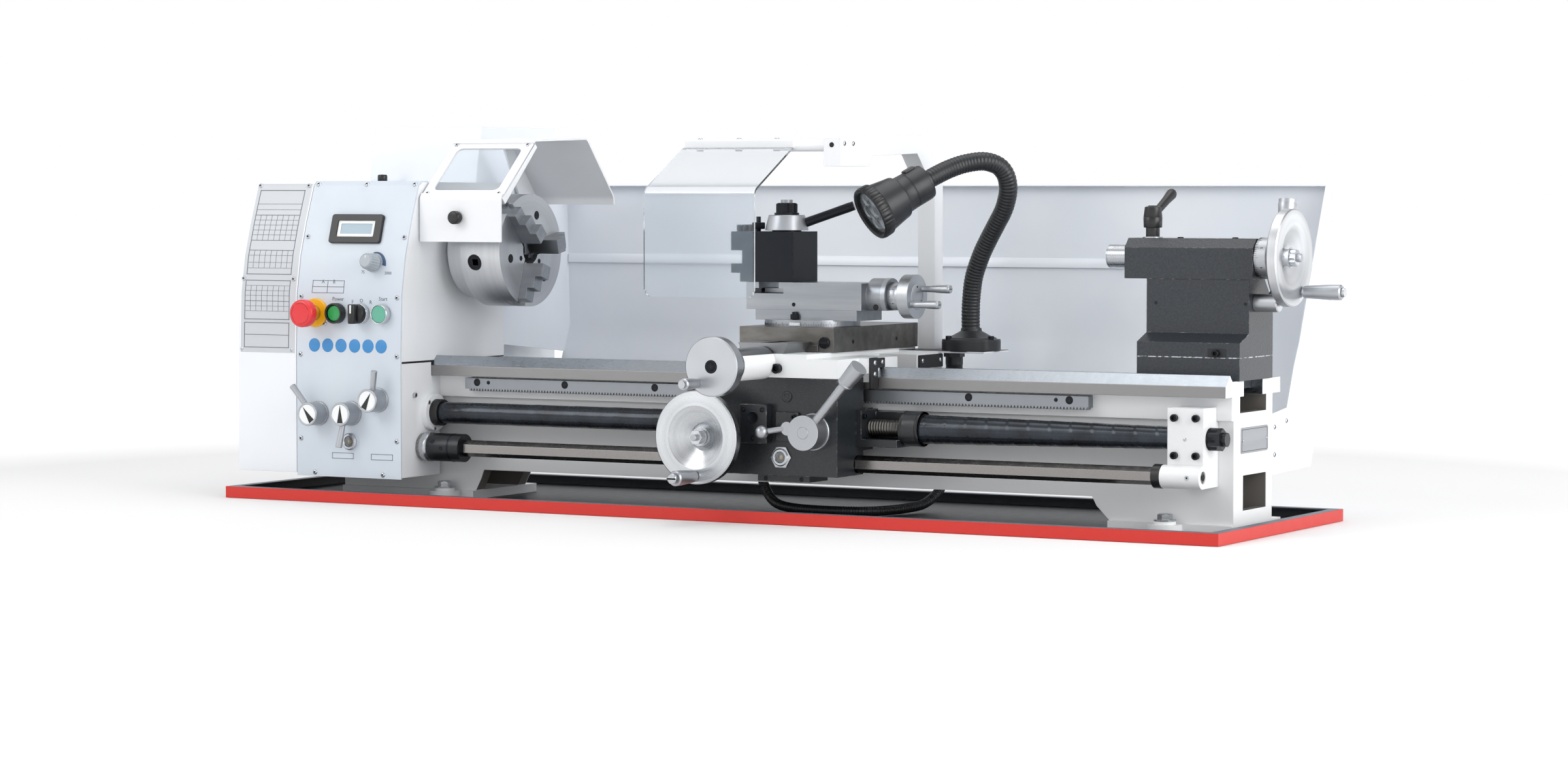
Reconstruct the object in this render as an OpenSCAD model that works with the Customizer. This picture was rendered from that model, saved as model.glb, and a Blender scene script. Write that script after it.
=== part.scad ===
// Bench lathe: a bed on a chip tray, with a belt-driven headstock, a feed gearbox,
// a carriage with cross slide and compound, and a tailstock.
// Millimetres. +X runs along the bed to the tailstock, -Y is the front, +Z is up.
// The origin is the middle of the chip tray's underside.

/* [Tray] */
// Length of the chip tray along the bed
tray_l = 1530; // [1400:5:1900]
// Width of the chip tray, front to back
tray_w = 420; // [400:5:560]
// Height of the tray's folded rim
tray_h = 16; // [10:1:30]
// Thickness of the tray's sheet
tray_t = 2; // [1:0.5:4]
// Width of the lip folded inwards at the top of the rim
lip_w = 15; // [8:1:25]

/* [Bed] */
// Where the right end of the bed is
bed_right = 730; // [640:5:880]
// Width over the bed's two rails
bed_w = 180; // [160:1:220]
// Height of the flat ways above the floor
way_z = 197; // [180:1:240]
// Thickness of the rails
rail_t = 20; // [16:1:28]
// Width of each rail
rail_w = 59; // [50:1:66]
// Distance between the bed's cross ribs
rib_step = 260; // [180:10:280]
// Rise of the prismatic way above the flat ones
v_rise = 8; // [5:0.5:12]

/* [Spindle] */
// Height of the spindle's axis above the flat ways
centre_h = 156; // [140:1:190]
// Bore through the spindle
spindle_bore = 38; // [26:1:44]
// Diameter of the spindle where it runs in its bearings
journal_d = 60; // [50:1:70]
// Diameter of the chuck body
chuck_d = 159; // [140:1:180]
// Length of the chuck body
chuck_l = 66; // [56:1:80]
// Diameter of the chuck's back plate
plate_d = 138; // [120:1:150]
// Width of a chuck jaw
jaw_w = 20; // [16:1:26]

/* [Feed shafts] */
// Diameter of the leadscrew
screw_d = 20; // [16:1:24]
// Distance across the flats of the hexagonal feed rod
rod_af = 20; // [16:1:22]

/* [Carriage] */
// Middle of the carriage along the bed, as it stands
car_x = 102; // [0:1:180]
// Length of the saddle's wings along the bed
saddle_l = 258; // [240:1:300]
// Diameter of the carriage handwheel
car_wheel_d = 124; // [100:1:130]
// Diameter of the cross-feed handwheel
cross_wheel_d = 78; // [60:1:90]
// Diameter of the compound's swivel disc
swivel_d = 129; // [110:1:140]

/* [Tailstock] */
// Middle of the tailstock along the bed, as it stands
tail_x = 660; // [560:1:660]
// Diameter of the quill
quill_d = 30; // [24:1:36]
// Diameter of the tailstock handwheel
tail_wheel_d = 125; // [100:1:140]

/* [Fits] */
// Running clearance of a shaft in its bore, on the radius
run = 0.05; // [0.03:0.01:0.1]
// Gap between sliding flat faces
slide = 0.05; // [0.02:0.01:0.1]
// Gap at which separate curved or seated pieces stand
seat = 0.3; // [0.2:0.05:0.5]

/* [Hidden] */
$fn = 48;

// Colours of the finishes
white = "#d9dcdb";
red = "#8c2430";
dark = "#26282b";
steel = "#a9adb0";
iron = "#6f7376";

// Bed: y of its faces, from the front rail's face to the rear rail's
bed_y = -17;
bed_left = -650;
bed_f = bed_y - bed_w / 2;
bed_r = bed_y + bed_w / 2;
slot_f = bed_f + rail_w;
slot_r = bed_r - rail_w;
rail_z = way_z - rail_t;
web_f = bed_f + 27;
web_r = bed_r - 26;
pad_f = bed_f + 21;
pad_z = rail_z - 30;
web_t = 20;
arch_z = 44;
foot_z = tray_t + 12;
rack_h = 18;
rack_x = [-427, 537];
// Holding-down bolts: their places along the bed, and their distance from its centre line
bolt_x = [-464, bed_right - 86];
bolt_off = 81;
bolt_r = 7;

// Spindle, headstock and covers
axis_y = bed_y;
axis_z = way_z + centre_h;
head_x = [-652, -480];
face_x = head_x[1];
panel_f = bed_f - 75;
panel_t = 2;
panel_z0 = 34;
head_rear = bed_r + 4.7;
head_top = axis_z + 98;
cover_x = [-762, -660];
nose_x = -466;
bear_d = 95;
bear_w = 22;
shaft_d = 44;
pulley_x = [-712, -672];
gear_x = [-742, -728];

// Leadscrew and feed rod
screw_yz = [bed_f, way_z - 72];
rod_yz = [bed_f - 21, way_z - 119.5];

// Change gears, all of one module
gear_m = 2;
n_spindle = 36;
n_idler = 80;
n_input = 50;
r_spindle = gear_m * n_spindle / 2;
r_idler = gear_m * n_idler / 2;
r_input = gear_m * n_input / 2;
span = norm([screw_yz[0] - axis_y, screw_yz[1] - axis_z]);
line_a = atan2(screw_yz[1] - axis_z, screw_yz[0] - axis_y);
side_a = (r_spindle + r_idler);
side_b = (r_idler + r_input);
bend_cos = (side_a * side_a + span * span - side_b * side_b) / (2 * side_a * span);
idler_a = line_a + acos(min(1, bend_cos));
idler_yz = [axis_y + side_a * cos(idler_a), axis_z + side_a * sin(idler_a)];
input_a = atan2(screw_yz[1] - idler_yz[1], screw_yz[0] - idler_yz[0]);
turn_spindle = idler_a;
turn_idler = idler_a + 180 + 180 / n_idler;
turn_input = input_a + 180 - (turn_idler - input_a) * n_idler / n_input + 180 / n_input;

// Motor behind the headstock
motor_yz = [bed_r + 117, axis_z - 23];
motor_r = 68;
spindle_pulley_r = 50;
motor_pulley_r = 30;
belt_t = 4;
house_x = [-715, -527];
house_f = head_rear + 0.3;
house_r = house_f + 208;
house_z = [150, head_top + 79];

// Carriage
apron_f = bed_f - 78;
apron_x = [car_x - 114, car_x + 114];
apron_z = [63, way_z - 5.5];
wing_x = [car_x - saddle_l / 2, car_x + saddle_l / 2];
wing_z = way_z + 20;
pad_top = wing_z + 6;
cross_z = way_z + 14;
cross_half = 72;
cross_y = [-118, 123];
cross_top = pad_top + 33;
swivel_xy = [car_x, -46];
base_top = cross_top + 22;
top_x = [car_x - 81, car_x + 95];
top_y = [-84, -9];
top_z = base_top + 36.5;
post_xy = [62, -46];
post_h = 68;
car_wheel_xz = [33, 113];
pinion_m = 1.5;
n_pinion = 16;
pinion_r = pinion_m * n_pinion / 2;
rack_tip = pad_z + 9.3;
pinion_z = rack_tip + pinion_m - pinion_r;
small_m = 1;
n_big = 56;
n_small = 14;
reach = small_m * (n_big + n_small) / 2;
pinion_x = car_wheel_xz[0] + sqrt(reach * reach - pow(pinion_z - car_wheel_xz[1], 2));
halfnut_xz = [181, 122];
feed_lever_xz = [148, 126];
screen_yz = [-140, 497];
screw_r = screw_d / 2;
rod_r = rod_af / 2 / cos(30);

// Tailstock
tail_left = tail_x - 68;
tail_right = tail_x + 74;
split_z = way_z + 29;
tail_clamp_yz = [axis_y - 3, axis_z - 58];
quill_x = [tail_x - 131, tail_x + 30];
lock_x = tail_x - 71;
tail_wheel_x = tail_x + 79;

// Lamp: the middle line of its bent neck, and the way that its head looks
neck = [
  [262, 112, 236], [261, 112, 262], [262, 112, 291], [267, 110, 320], [279, 106, 348],
  [291, 103, 369], [306, 98, 391], [321, 92, 413], [331, 84, 437], [332, 76, 457],
  [325, 66, 471], [311, 51, 477], [292, 34, 474], [277, 17, 467], [266, -2, 458], [256, -18, 449]
];
neck_d = 24;
lamp_look = [-0.52, -0.70, -0.47];

// Conduit: the middle line of the hose between the carriage and the bed
hose = [
  [236, 112, 200], [236, 112, 170], [236, 109, 130], [237, 104, 90], [236, 94, 55],
  [233, 75, 30], [229, 40, 14], [222, 0, 10], [210, -40, 9], [190, -66, 9],
  [160, -76, 9], [125, -77, 9], [90, -75, 10], [62, -68, 13.5], [42, -57, 22],
  [27, -47, 38], [14, -41, 58], [-2, -36, 76], [-24, -33, 88], [-50, -32, 92],
  [-110, -32, 92], [-170, -32, 92], [-230, -32, 92], [-290, -32, 92], [-350, -32, 92],
  [-410, -32, 92], [-450, -32, 92], [-482, -31, 97], [-506, -29, 112], [-521, -26, 136],
  [-526, -21, 165], [-526, -20, 200], [-526, -20, 235]
];
hose_yz = [-32, 92];
hose_top = 235;
hose_d = 13;

// Plain shapes, placed by their limits
module box(x, y, z) {
  translate([x[0], y[0], z[0]]) cube([x[1] - x[0], y[1] - y[0], z[1] - z[0]]);
}
module rod_x(x, yz, r, r2 = undef) {
  translate([x[0], yz[0], yz[1]]) rotate([0, 90, 0])
    cylinder(h = x[1] - x[0], r1 = r, r2 = is_undef(r2) ? r : r2);
}
module rod_y(y, xz, r, r2 = undef) {
  translate([xz[0], y[0], xz[1]]) rotate([-90, 0, 0])
    cylinder(h = y[1] - y[0], r1 = r, r2 = is_undef(r2) ? r : r2);
}
module rod_z(z, xy, r, r2 = undef) {
  translate([xy[0], xy[1], z[0]]) cylinder(h = z[1] - z[0], r1 = r, r2 = is_undef(r2) ? r : r2);
}
// A flat outline drawn in (y, z), (x, z) or (x, y) and given a thickness
module along_x(x) {
  translate([x[0], 0, 0]) rotate([90, 0, 90]) linear_extrude(x[1] - x[0]) children();
}
module along_y(y) {
  translate([0, y[1], 0]) rotate([90, 0, 0]) linear_extrude(y[1] - y[0]) children();
}
module along_z(z) {
  translate([0, 0, z[0]]) linear_extrude(z[1] - z[0]) children();
}
// A rod between two points, wider or narrower at its far end
module strut(a, b, r, r2 = undef) {
  d = b - a;
  translate(a) rotate([0, acos(d[2] / norm(d)), atan2(d[1], d[0])])
    cylinder(h = norm(d), r1 = r, r2 = is_undef(r2) ? r : r2);
}
// A hexagonal bar or nut along X
module hex_x(x, yz, across) {
  translate([x[0], yz[0], yz[1]]) rotate([0, 90, 0])
    cylinder(h = x[1] - x[0], r = across / 2 / cos(30), $fn = 6);
}
// Outline of a spur gear with straight-sided teeth
module gear_outline(teeth, m) {
  r = teeth * m / 2;
  p = 360 / teeth;
  polygon([for (k = [0 : teeth - 1]) for (q = [[-0.36, -1.2], [-0.11, 0.9], [0.11, 0.9], [0.36, -1.2]])
    (r + q[1] * m) * [cos((k + q[0]) * p), sin((k + q[0]) * p)]]);
}

// Sweep of a round tube along points
function unit(v) = v / norm(v);
function heading(p, i) = unit(p[min(i + 1, len(p) - 1)] - p[max(i - 1, 0)]);
function across(t, n) = unit(n - (n * t) * t);
function frames(p, i, n) = i == len(p) ? [] :
  let (t = heading(p, i), m = across(t, n)) concat([[m, cross(t, m)]], frames(p, i + 1, m));
module swept_tube(p, d, sides, start) {
  f = frames(p, 0, start);
  rings = len(p);
  ring_points = [for (i = [0 : rings - 1]) for (k = [0 : sides - 1])
    p[i] + d / 2 * (cos(360 * k / sides) * f[i][0] + sin(360 * k / sides) * f[i][1])];
  skin = [for (i = [0 : rings - 2]) for (k = [0 : sides - 1])
    [i * sides + k, (i + 1) * sides + k, (i + 1) * sides + (k + 1) % sides, i * sides + (k + 1) % sides]];
  ends = [[for (k = [0 : sides - 1]) k], [for (k = [sides - 1 : -1 : 0]) (rings - 1) * sides + k]];
  polyhedron(ring_points, concat(skin, ends), 4);
}

// Front outline of the headstock and its covers, from the foot to the top, inset by d
function front_line(d, z0) = [
  [panel_f + d, z0], [panel_f + d, axis_z - 146], [panel_f + 3 + d, axis_z - 61],
  [panel_f + 12 + d, axis_z - 8], [panel_f + 26 + d, axis_z + 39],
  [panel_f + 45 + d, head_top - 6 - d / 2], [panel_f + 52 + d, head_top - d]
];
// Places of the controls: buttons and knobs in (x, z), and the tilt of the panel there
estop_xz = [-626, axis_z - 88];
power_xz = [-588, axis_z - 88];
direction_xz = [-548, axis_z - 88];
start_xz = [-511, axis_z - 88];
speed_xz = [-531, axis_z - 17];
speed_tilt = 10;
speed_y = panel_f + 10;
button_y = panel_f + 2;
lever_xz = [[-621, way_z - 74], [-564.5, way_z - 72.5], [-518, way_z - 52.5]];
lever_turn = [127, 262, 79];
lever_len = [50, 48, 43];

// Folded edge strip of the tray, as an outline with its outer face on x = 0
module edge_strip() {
  polygon([[0, 0], [tray_t, 0], [tray_t, tray_h - tray_t], [lip_w, tray_h - tray_t], [lip_w, tray_h], [0, tray_h]]);
}
module chip_tray() {
  weld = tray_t + slide;
  // Floor sheet
  color(red) difference() {
    box([weld - tray_l / 2, tray_l / 2 - weld], [weld - tray_w / 2, tray_w / 2 - weld], [0, tray_t]);
    bolt_holes();
  }
  // Two long strips, and two short ones between them, tacked round the floor
  for (s = [0, 1]) color(red) {
    rotate([0, 0, 180 * s]) along_x([-tray_l / 2, tray_l / 2]) translate([-tray_w / 2, 0]) edge_strip();
    rotate([0, 0, 180 * s]) intersection() {
      along_y([weld - tray_w / 2, tray_w / 2 - weld]) translate([-tray_l / 2, 0]) edge_strip();
      union() {
        box([-tray_l / 2, 0], [-tray_w, tray_w], [-1, tray_h - tray_t - slide]);
        box([-tray_l / 2, 0], [lip_w + slide - tray_w / 2, tray_w / 2 - lip_w - slide], [-1, tray_h + 1]);
      }
    }
  }
}

// The prismatic way on the front rail, grown by a gap
module v_way(gap) {
  polygon([[bed_f - gap, way_z - 30], [bed_f - gap, way_z - 6 + gap], [bed_f + 6 + v_rise, way_z + v_rise + 1.4 * gap],
    [bed_f + 6 + 2 * v_rise + gap, way_z + gap / 2], [bed_f + 6 + 2 * v_rise + gap, way_z - 30]]);
}

module bed_walls() {
  // Front rail with its prismatic way, and rear rail
  along_x([bed_left, bed_right]) intersection() {
    union() {
      v_way(0);
      translate([bed_f + 10, rail_z]) square([rail_w - 10, rail_t]);
    }
    translate([bed_f, rail_z]) square([rail_w, rail_t + v_rise + 1]);
  }
  box([bed_left, bed_right], [slot_r, bed_r], [rail_z, way_z]);
  // Front wall, with the pad that carries the rack, and rear wall
  box([bed_left, bed_right], [web_f, web_f + web_t], [arch_z, rail_z]);
  box([bed_left, bed_right], [pad_f, web_f + 1], [pad_z, rail_z]);
  box([bed_left, bed_right], [web_r - web_t, web_r], [arch_z, rail_z]);
  // Cross ribs
  difference() {
    for (x = [bed_left + 50 : rib_step : bed_right - 200])
      box([x - 6, x + 6], [web_f + 1, web_r - 1], [arch_z, rail_z - 21]);
    // Holes in the ribs for the conduit
    rod_x([bed_left, 0], hose_yz, hose_d / 2 + 5);
  }
}

module bolt_holes() {
  for (x = bolt_x) for (s = [-1, 1]) rod_z([-1, foot_z + 1], [x, bed_y + s * bolt_off], bolt_r);
}

module bed() {
  color(white) difference() {
    bed_body();
    bolt_holes();
  }
  // Rack under the front rail, its teeth pointing down
  color(steel) along_y([pad_f - 14, pad_f - seat]) rack_outline();
}

module bed_body() {
  bed_walls();
  // Feet: the walls run down in a curve to a flange at each end
  for (y = [[web_f, web_f + web_t], [web_r - web_t, web_r]]) along_y(y) {
    polygon([[bed_right - 197, arch_z + 1], [bed_right - 190, arch_z - 12], [bed_right - 171, foot_z - 1],
      [bed_right, foot_z - 1], [bed_right, arch_z + 1]]);
    polygon([[-409, arch_z + 1], [-414, arch_z - 12], [-424, foot_z - 1], [bed_left, foot_z - 1],
      [bed_left, arch_z + 1]]);
  }
  box([bed_right - 172, bed_right], [web_f - 6, bed_r + 4], [tray_t, foot_z]);
  box([bed_left, -424], [web_f - 6, bed_r + 4], [tray_t, foot_z]);
  // Ears for the holding-down bolts
  for (x = bolt_x) for (s = [-1, 1]) {
    rod_z([tray_t, foot_z], [x, bed_y + s * bolt_off], 22);
    rod_z([tray_t, foot_z + 4], [x, bed_y + s * bolt_off], 14);
  }
  // End walls with their cored openings
  difference() {
    box([bed_right - 15, bed_right], [web_f, web_r], [foot_z - 1, rail_z]);
    box([bed_right - 16, bed_right + 1], [web_f + web_t, web_r - web_t], [rail_z - 21, rail_z + 1]);
    box([bed_right - 16, bed_right + 1], [web_f + 31, web_r - web_t], [31, 76]);
  }
  box([bed_left, bed_left + 15], [web_f, web_r], [foot_z - 1, 90]);
}

module rack_outline() {
  pitch = PI * pinion_m;
  count = floor((rack_x[1] - rack_x[0]) / pitch);
  first = pinion_x - pitch * round((pinion_x - rack_x[0]) / pitch) + pitch;
  polygon(concat(
    [[rack_x[0], rack_tip + rack_h], [rack_x[0], rack_tip + 2.1 * pinion_m]],
    [for (k = [0 : count - 2]) for (q = [[-0.36, 2.1], [-0.11, 0], [0.11, 0], [0.36, 2.1]])
      [first + (k + 0.5 + q[0]) * pitch, rack_tip + q[1] * pinion_m]],
    [[rack_x[1], rack_tip + 2.1 * pinion_m], [rack_x[1], rack_tip + rack_h]]));
}

module headstock() {
  color(white) difference() {
    union() {
      along_x(head_x) polygon(concat(front_line(panel_t + seat, way_z + seat),
        [[head_rear, head_top - 3], [head_rear, way_z + seat]]));
      // Arm that carries the chuck guard's pin
      box([-500, -488], [head_rear - 1, 164], [axis_z + 40, axis_z + 72]);
      rod_x([-489, -462], [150, axis_z + 56], 6);
    }
    // Open below and in front, where the control panel closes it
    box([head_x[0] + 26, face_x - 28], [panel_f - 1, head_rear - 16], [way_z - 1, head_top - 18]);
    box([head_x[0] + 10, face_x - 10], [panel_f - 1, panel_f + 30], [way_z + 20, head_top - 30]);
    rod_x([head_x[0] - 1, face_x + 1], [axis_y, axis_z], bear_d / 2);
    along_x([head_x[0] - 1, face_x + 1]) v_way(seat);
  }
  // Terminal box inside, where the conduit ends
  color(dark) box([-541, face_x - 28 - seat], [-40, 4], [hose_top, hose_top + 22]);
  // Bearing rings
  color(steel) for (x = [head_x[0] + 2, face_x - 2 - bear_w]) difference() {
    rod_x([x, x + bear_w], [axis_y, axis_z], bear_d / 2 - run);
    rod_x([x - 1, x + bear_w + 1], [axis_y, axis_z], journal_d / 2 + run);
  }
}

module feed_gearbox() {
  color(white) difference() {
    union() {
      box(head_x, [panel_f + panel_t + seat, pad_f - seat], [panel_z0 + 2, rail_z - seat]);
      box(head_x, [panel_f + panel_t + seat, bed_f - seat], [panel_z0 + 2, way_z - seat]);
      rod_x([face_x - 1, face_x + 9], screw_yz, 26);
      // Boss for the quadrant on the left
      rod_x([head_x[0] - 12, head_x[0] + 1], screw_yz, 22);
    }
    box([head_x[0] + 12, face_x - 12], [panel_f + 14, pad_f], [panel_z0 + 16, rail_z - 12]);
    rod_x([head_x[0] - 13, face_x + 10], screw_yz, screw_r + run);
    rod_x([face_x - 13, face_x + 10], rod_yz, 12 + run);
    for (p = lever_xz) rod_y([panel_f, panel_f + 20], p, 6 + run);
  }
  // Quadrant arm and the stud of the large change gear
  color(iron) {
    along_x([head_x[0] - 12, head_x[0] - 4]) difference() {
      union() {
        translate(screw_yz) circle(34);
        translate(idler_yz) circle(18);
        translate(screw_yz) rotate(input_a + 180) translate([0, -15]) square([side_b, 30]);
      }
      translate(screw_yz) circle(22 + run);
    }
    rod_x([gear_x[0] - 4, head_x[0] - 8], idler_yz, 8);
  }
}

module control_panel() {
  color(white) difference() {
    union() {
      along_x([-659, face_x]) polygon(concat(front_line(0, panel_z0),
        [[panel_f + 70, head_top], [panel_f + 70, head_top - panel_t]],
        [for (i = [6 : -1 : 0]) front_line(panel_t, panel_z0)[i]]));
      rod_y([button_y - 4, button_y], estop_xz, 20);
      rod_y([panel_f - 3, panel_f + 1], [-565, way_z - 112], 12);
    }
    rod_y([panel_f - 5, panel_f + 20], estop_xz, 10 + seat);
    rod_y([panel_f - 5, panel_f + 20], power_xz, 10 + seat);
    rod_y([panel_f - 5, panel_f + 20], start_xz, 10 + seat);
    rod_y([panel_f - 5, panel_f + 20], direction_xz, 6 + seat);
    for (p = lever_xz) rod_y([panel_f - 1, panel_f + 5], p, 6 + seat);
    on_speed() rod_z([-12, 12], [0, 0], 4 + seat);
  }
}

// Frame of the speed knob: z points out of the leaning panel
module on_speed() {
  translate([speed_xz[0], speed_y, speed_xz[1]]) rotate([90 - speed_tilt, 0, 0]) children();
}

module motor() {
  color(iron) difference() {
    union() {
      rod_x([-655, house_x[1] - 2 - seat], motor_yz, motor_r);
      rod_x([-662, -654], motor_yz, 40);
      box([-640, -545], [motor_yz[0] - 60, motor_yz[0] + 60], [motor_yz[1] - motor_r - 8, motor_yz[1] - 30]);
    }
    rod_x([-663, -600], motor_yz, 12 + run);
  }
}

module motor_housing() {
  wall = 2;
  color(white) difference() {
    union() {
      along_x(house_x) polygon([[house_f, house_z[0]], [house_f, head_top + 4], [house_f + 15, house_z[1]],
        [house_r, house_z[1]], [house_r, house_z[0]]]);
      // The front sheet runs on behind the gear cover and ends in its hinge
      box([cover_hinge[0] + 8, house_x[0] + 1], [house_f, house_f + wall], [house_z[0], head_top - 8]);
      for (z = [house_z[0], head_top - 68]) {
        box([cover_hinge[0], cover_hinge[0] + 9], [house_f, house_f + wall], [z, z + 60]);
        rod_z([z, z + 60], cover_hinge, 5);
      }
      rod_z([house_z[0] + 1, head_top - 9], cover_hinge, 2.5);
    }
    along_x([house_x[0] + wall, house_x[1] - wall]) polygon([[house_f + wall, house_z[0] + wall],
      [house_f + wall, head_top + 4], [house_f + 15 + wall, house_z[1] - wall],
      [house_r - wall, house_z[1] - wall], [house_r - wall, house_z[0] + wall]]);
    // Mouth for the belt
    box([pulley_x[0] - 1, pulley_x[1] + 6], [house_f - 1, house_f + wall + 1],
      [axis_z - 80, axis_z + 62]);
  }
}
cover_hinge = [cover_x[0] + 2, house_f + 6];

module splash_guard() {
  sheet = 1.5;
  top = head_top - 6;
  color(white) {
    // Back sheet, bent at mid height, with a flange along its top
    along_x([face_x - 2, bed_right - 2]) polygon([[251, top], [258, top - 207], [186, 73],
      [184.6, 73.6], [256.4, top - 207.2], [249.5, top - sheet], [236, top - sheet], [236, top]]);
    // Left cheek, from the back sheet to the headstock
    difference() {
      along_x([face_x - 2, face_x - 2 + sheet]) polygon([[head_rear + seat, axis_z - 139],
        [head_rear + seat, top], [250.5, top], [257.5, top - 207], [242, top - 247]]);
      rod_x([face_x - 3, face_x], guard_pin, 7);
    }
    // Right cheek, screwed to the end of the bed
    along_x([bed_right - 2 - sheet, bed_right - 2]) polygon([[web_r + seat, 70], [web_r + seat, way_z - 48],
      [102, way_z - 42], [126, way_z + 12], [145, way_z + 44], [236, top], [250.5, top],
      [257.5, top - 207], [186, 73]]);
  }
}

module end_bracket() {
  x = [660, 709];
  color(white) difference() {
    union() {
      box(x, [bed_f - 21, web_f - seat], [95, pad_z - seat]);
      box(x, [bed_f - 21, pad_f - seat], [95, pad_z + 17.5]);
      rod_x([655, x[1]], rod_yz, 15);
      box(x, [bed_f - 21, web_f - seat], [63, 96]);
    }
    rod_x([650, x[1] + 1], screw_yz, screw_r + run);
    rod_x([650, x[1] + 1], rod_yz, 8 + run);
  }
}

// Outline of a belt round two pulleys, given how far it stands off them
module belt_outline(grow) {
  r1 = spindle_pulley_r + grow;
  r2 = motor_pulley_r + grow;
  d = motor_yz - [axis_y, axis_z];
  a = atan2(d[1], d[0]);
  tip = acos((r1 - r2) / norm(d));
  polygon(concat(
    [for (k = [0 : 24]) let (t = a + tip + k * (360 - 2 * tip) / 24) [axis_y, axis_z] + r1 * [cos(t), sin(t)]],
    [for (k = [0 : 24]) let (t = a - tip + k * 2 * tip / 24) motor_yz + r2 * [cos(t), sin(t)]]));
}
module drive_belt() {
  color(dark) along_x([pulley_x[0] + 5, pulley_x[1] - 5]) difference() {
    belt_outline(seat + belt_t);
    belt_outline(seat);
  }
}

module screw_covers() {
  inner = screw_r + 2;
  color(steel) difference() {
    union() {
      rod_x([face_x + 9, face_x + 25], screw_yz, 21);
      rod_x([face_x + 24, apron_x[0] - seat], screw_yz, 15.5);
    }
    rod_x([face_x + 8, apron_x[0] + 1], screw_yz, inner);
  }
  color(steel) difference() {
    rod_x([304 + seat, 660 - seat], screw_yz, 19.5, 14);
    rod_x([304, 661], screw_yz, inner);
  }
}

module cable_conduit() {
  color(dark) swept_tube(hose, hose_d, 10, [1, 0, 0]);
}

module spindle() {
  centre = [axis_y, axis_z];
  color(steel) difference() {
    union() {
      rod_x([gear_x[0] - 10, head_x[0] + 1], centre, shaft_d / 2);
      rod_x([head_x[0] + 1, face_x + 2], centre, journal_d / 2);
      rod_x([face_x + 2, nose_x], centre, 52);
      rod_x([nose_x - 1, nose_x + 14], centre, 34);
    }
    rod_x([gear_x[0] - 11, nose_x + 15], centre, spindle_bore / 2);
  }
  // Pulley and first change gear, keyed on the shaft
  color(iron) difference() {
    union() {
      rod_x(pulley_x, centre, spindle_pulley_r);
      rod_x([pulley_x[0], pulley_x[0] + 4], centre, spindle_pulley_r + 6);
      rod_x([pulley_x[1] - 4, pulley_x[1]], centre, spindle_pulley_r + 6);
    }
    rod_x([pulley_x[0] - 1, pulley_x[1] + 1], centre, shaft_d / 2 + run);
  }
  color(iron) difference() {
    translate([0, axis_y, axis_z]) along_x(gear_x) rotate(turn_spindle) gear_outline(n_spindle, gear_m);
    rod_x([gear_x[0] - 1, gear_x[1] + 1], centre, shaft_d / 2 + run);
  }
}

// Frame of one chuck station: y points outwards along the radius
jaw_a = [252, 12, 132];
module at_station(a) {
  translate([0, axis_y, axis_z]) rotate([a, 0, 0]) children();
}
chuck_x = [nose_x, nose_x + 29, nose_x + 29 + chuck_l];
jaw_r = 22;
jaw_back = 22;
socket_x = chuck_x[1] + 23;
module chuck_body() {
  centre = [axis_y, axis_z];
  color(steel) difference() {
    union() {
      rod_x([chuck_x[0] + slide, chuck_x[1] + 1], centre, plate_d / 2);
      rod_x([chuck_x[1], chuck_x[2]], centre, chuck_d / 2);
    }
    rod_x([chuck_x[0] - 1, chuck_x[2] + 1], centre, spindle_bore / 2);
    rod_x([chuck_x[0] - 1, chuck_x[0] + 14.5], centre, 34 + run);
    for (a = jaw_a) at_station(a) {
      box([chuck_x[2] - jaw_back - slide, chuck_x[2] + 1], [jaw_r - 9, chuck_d], [-jaw_w / 2 - slide, jaw_w / 2 + slide]);
      box([chuck_x[2] - 14 - slide, chuck_x[2] - 8 + slide], [jaw_r - 9, chuck_d],
        [-jaw_w / 2 - 4 - slide, jaw_w / 2 + 4 + slide]);
    }
    for (a = jaw_a) at_station(a - 60) rod_y([chuck_d / 2 - 34, chuck_d / 2 + 1], [socket_x, 0], 11.5 + run);
  }
}
module chuck_jaw(a) {
  color(steel) at_station(a) {
    box([chuck_x[2] - jaw_back, chuck_x[2] + 12], [jaw_r, jaw_r + 52], [-jaw_w / 2, jaw_w / 2]);
    box([chuck_x[2] - 14, chuck_x[2] - 8], [jaw_r, jaw_r + 52], [-jaw_w / 2 - 4, jaw_w / 2 + 4]);
    box([chuck_x[2] + 11, chuck_x[2] + 22], [jaw_r, jaw_r + 36], [-jaw_w / 2, jaw_w / 2]);
    box([chuck_x[2] + 21, chuck_x[2] + 32], [jaw_r, jaw_r + 19], [-jaw_w / 2, jaw_w / 2]);
  }
}
module chuck_pinion(a) {
  color(steel) at_station(a - 60) difference() {
    rod_y([chuck_d / 2 - 33, chuck_d / 2 - 2], [socket_x, 0], 11.5);
    translate([socket_x - 4.5, chuck_d / 2 - 22, -4.5]) cube([9, 30, 9]);
  }
}

module motor_pulley() {
  color(iron) {
    rod_x(pulley_x, motor_yz, motor_pulley_r);
    rod_x([pulley_x[0], pulley_x[0] + 3], motor_yz, motor_pulley_r + 5);
    rod_x([pulley_x[1] - 3, pulley_x[1]], motor_yz, motor_pulley_r + 5);
    rod_x([pulley_x[1] - 1, -605], motor_yz, 12);
  }
}

module change_gear() {
  color(iron) difference() {
    union() {
      translate([0, idler_yz[0], idler_yz[1]]) along_x(gear_x) rotate(turn_idler)
        gear_outline(n_idler, gear_m);
      rod_x([gear_x[0], head_x[0] - 13], idler_yz, 16);
    }
    rod_x([gear_x[0] - 1, head_x[0]], idler_yz, 8 + run);
  }
}

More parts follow.
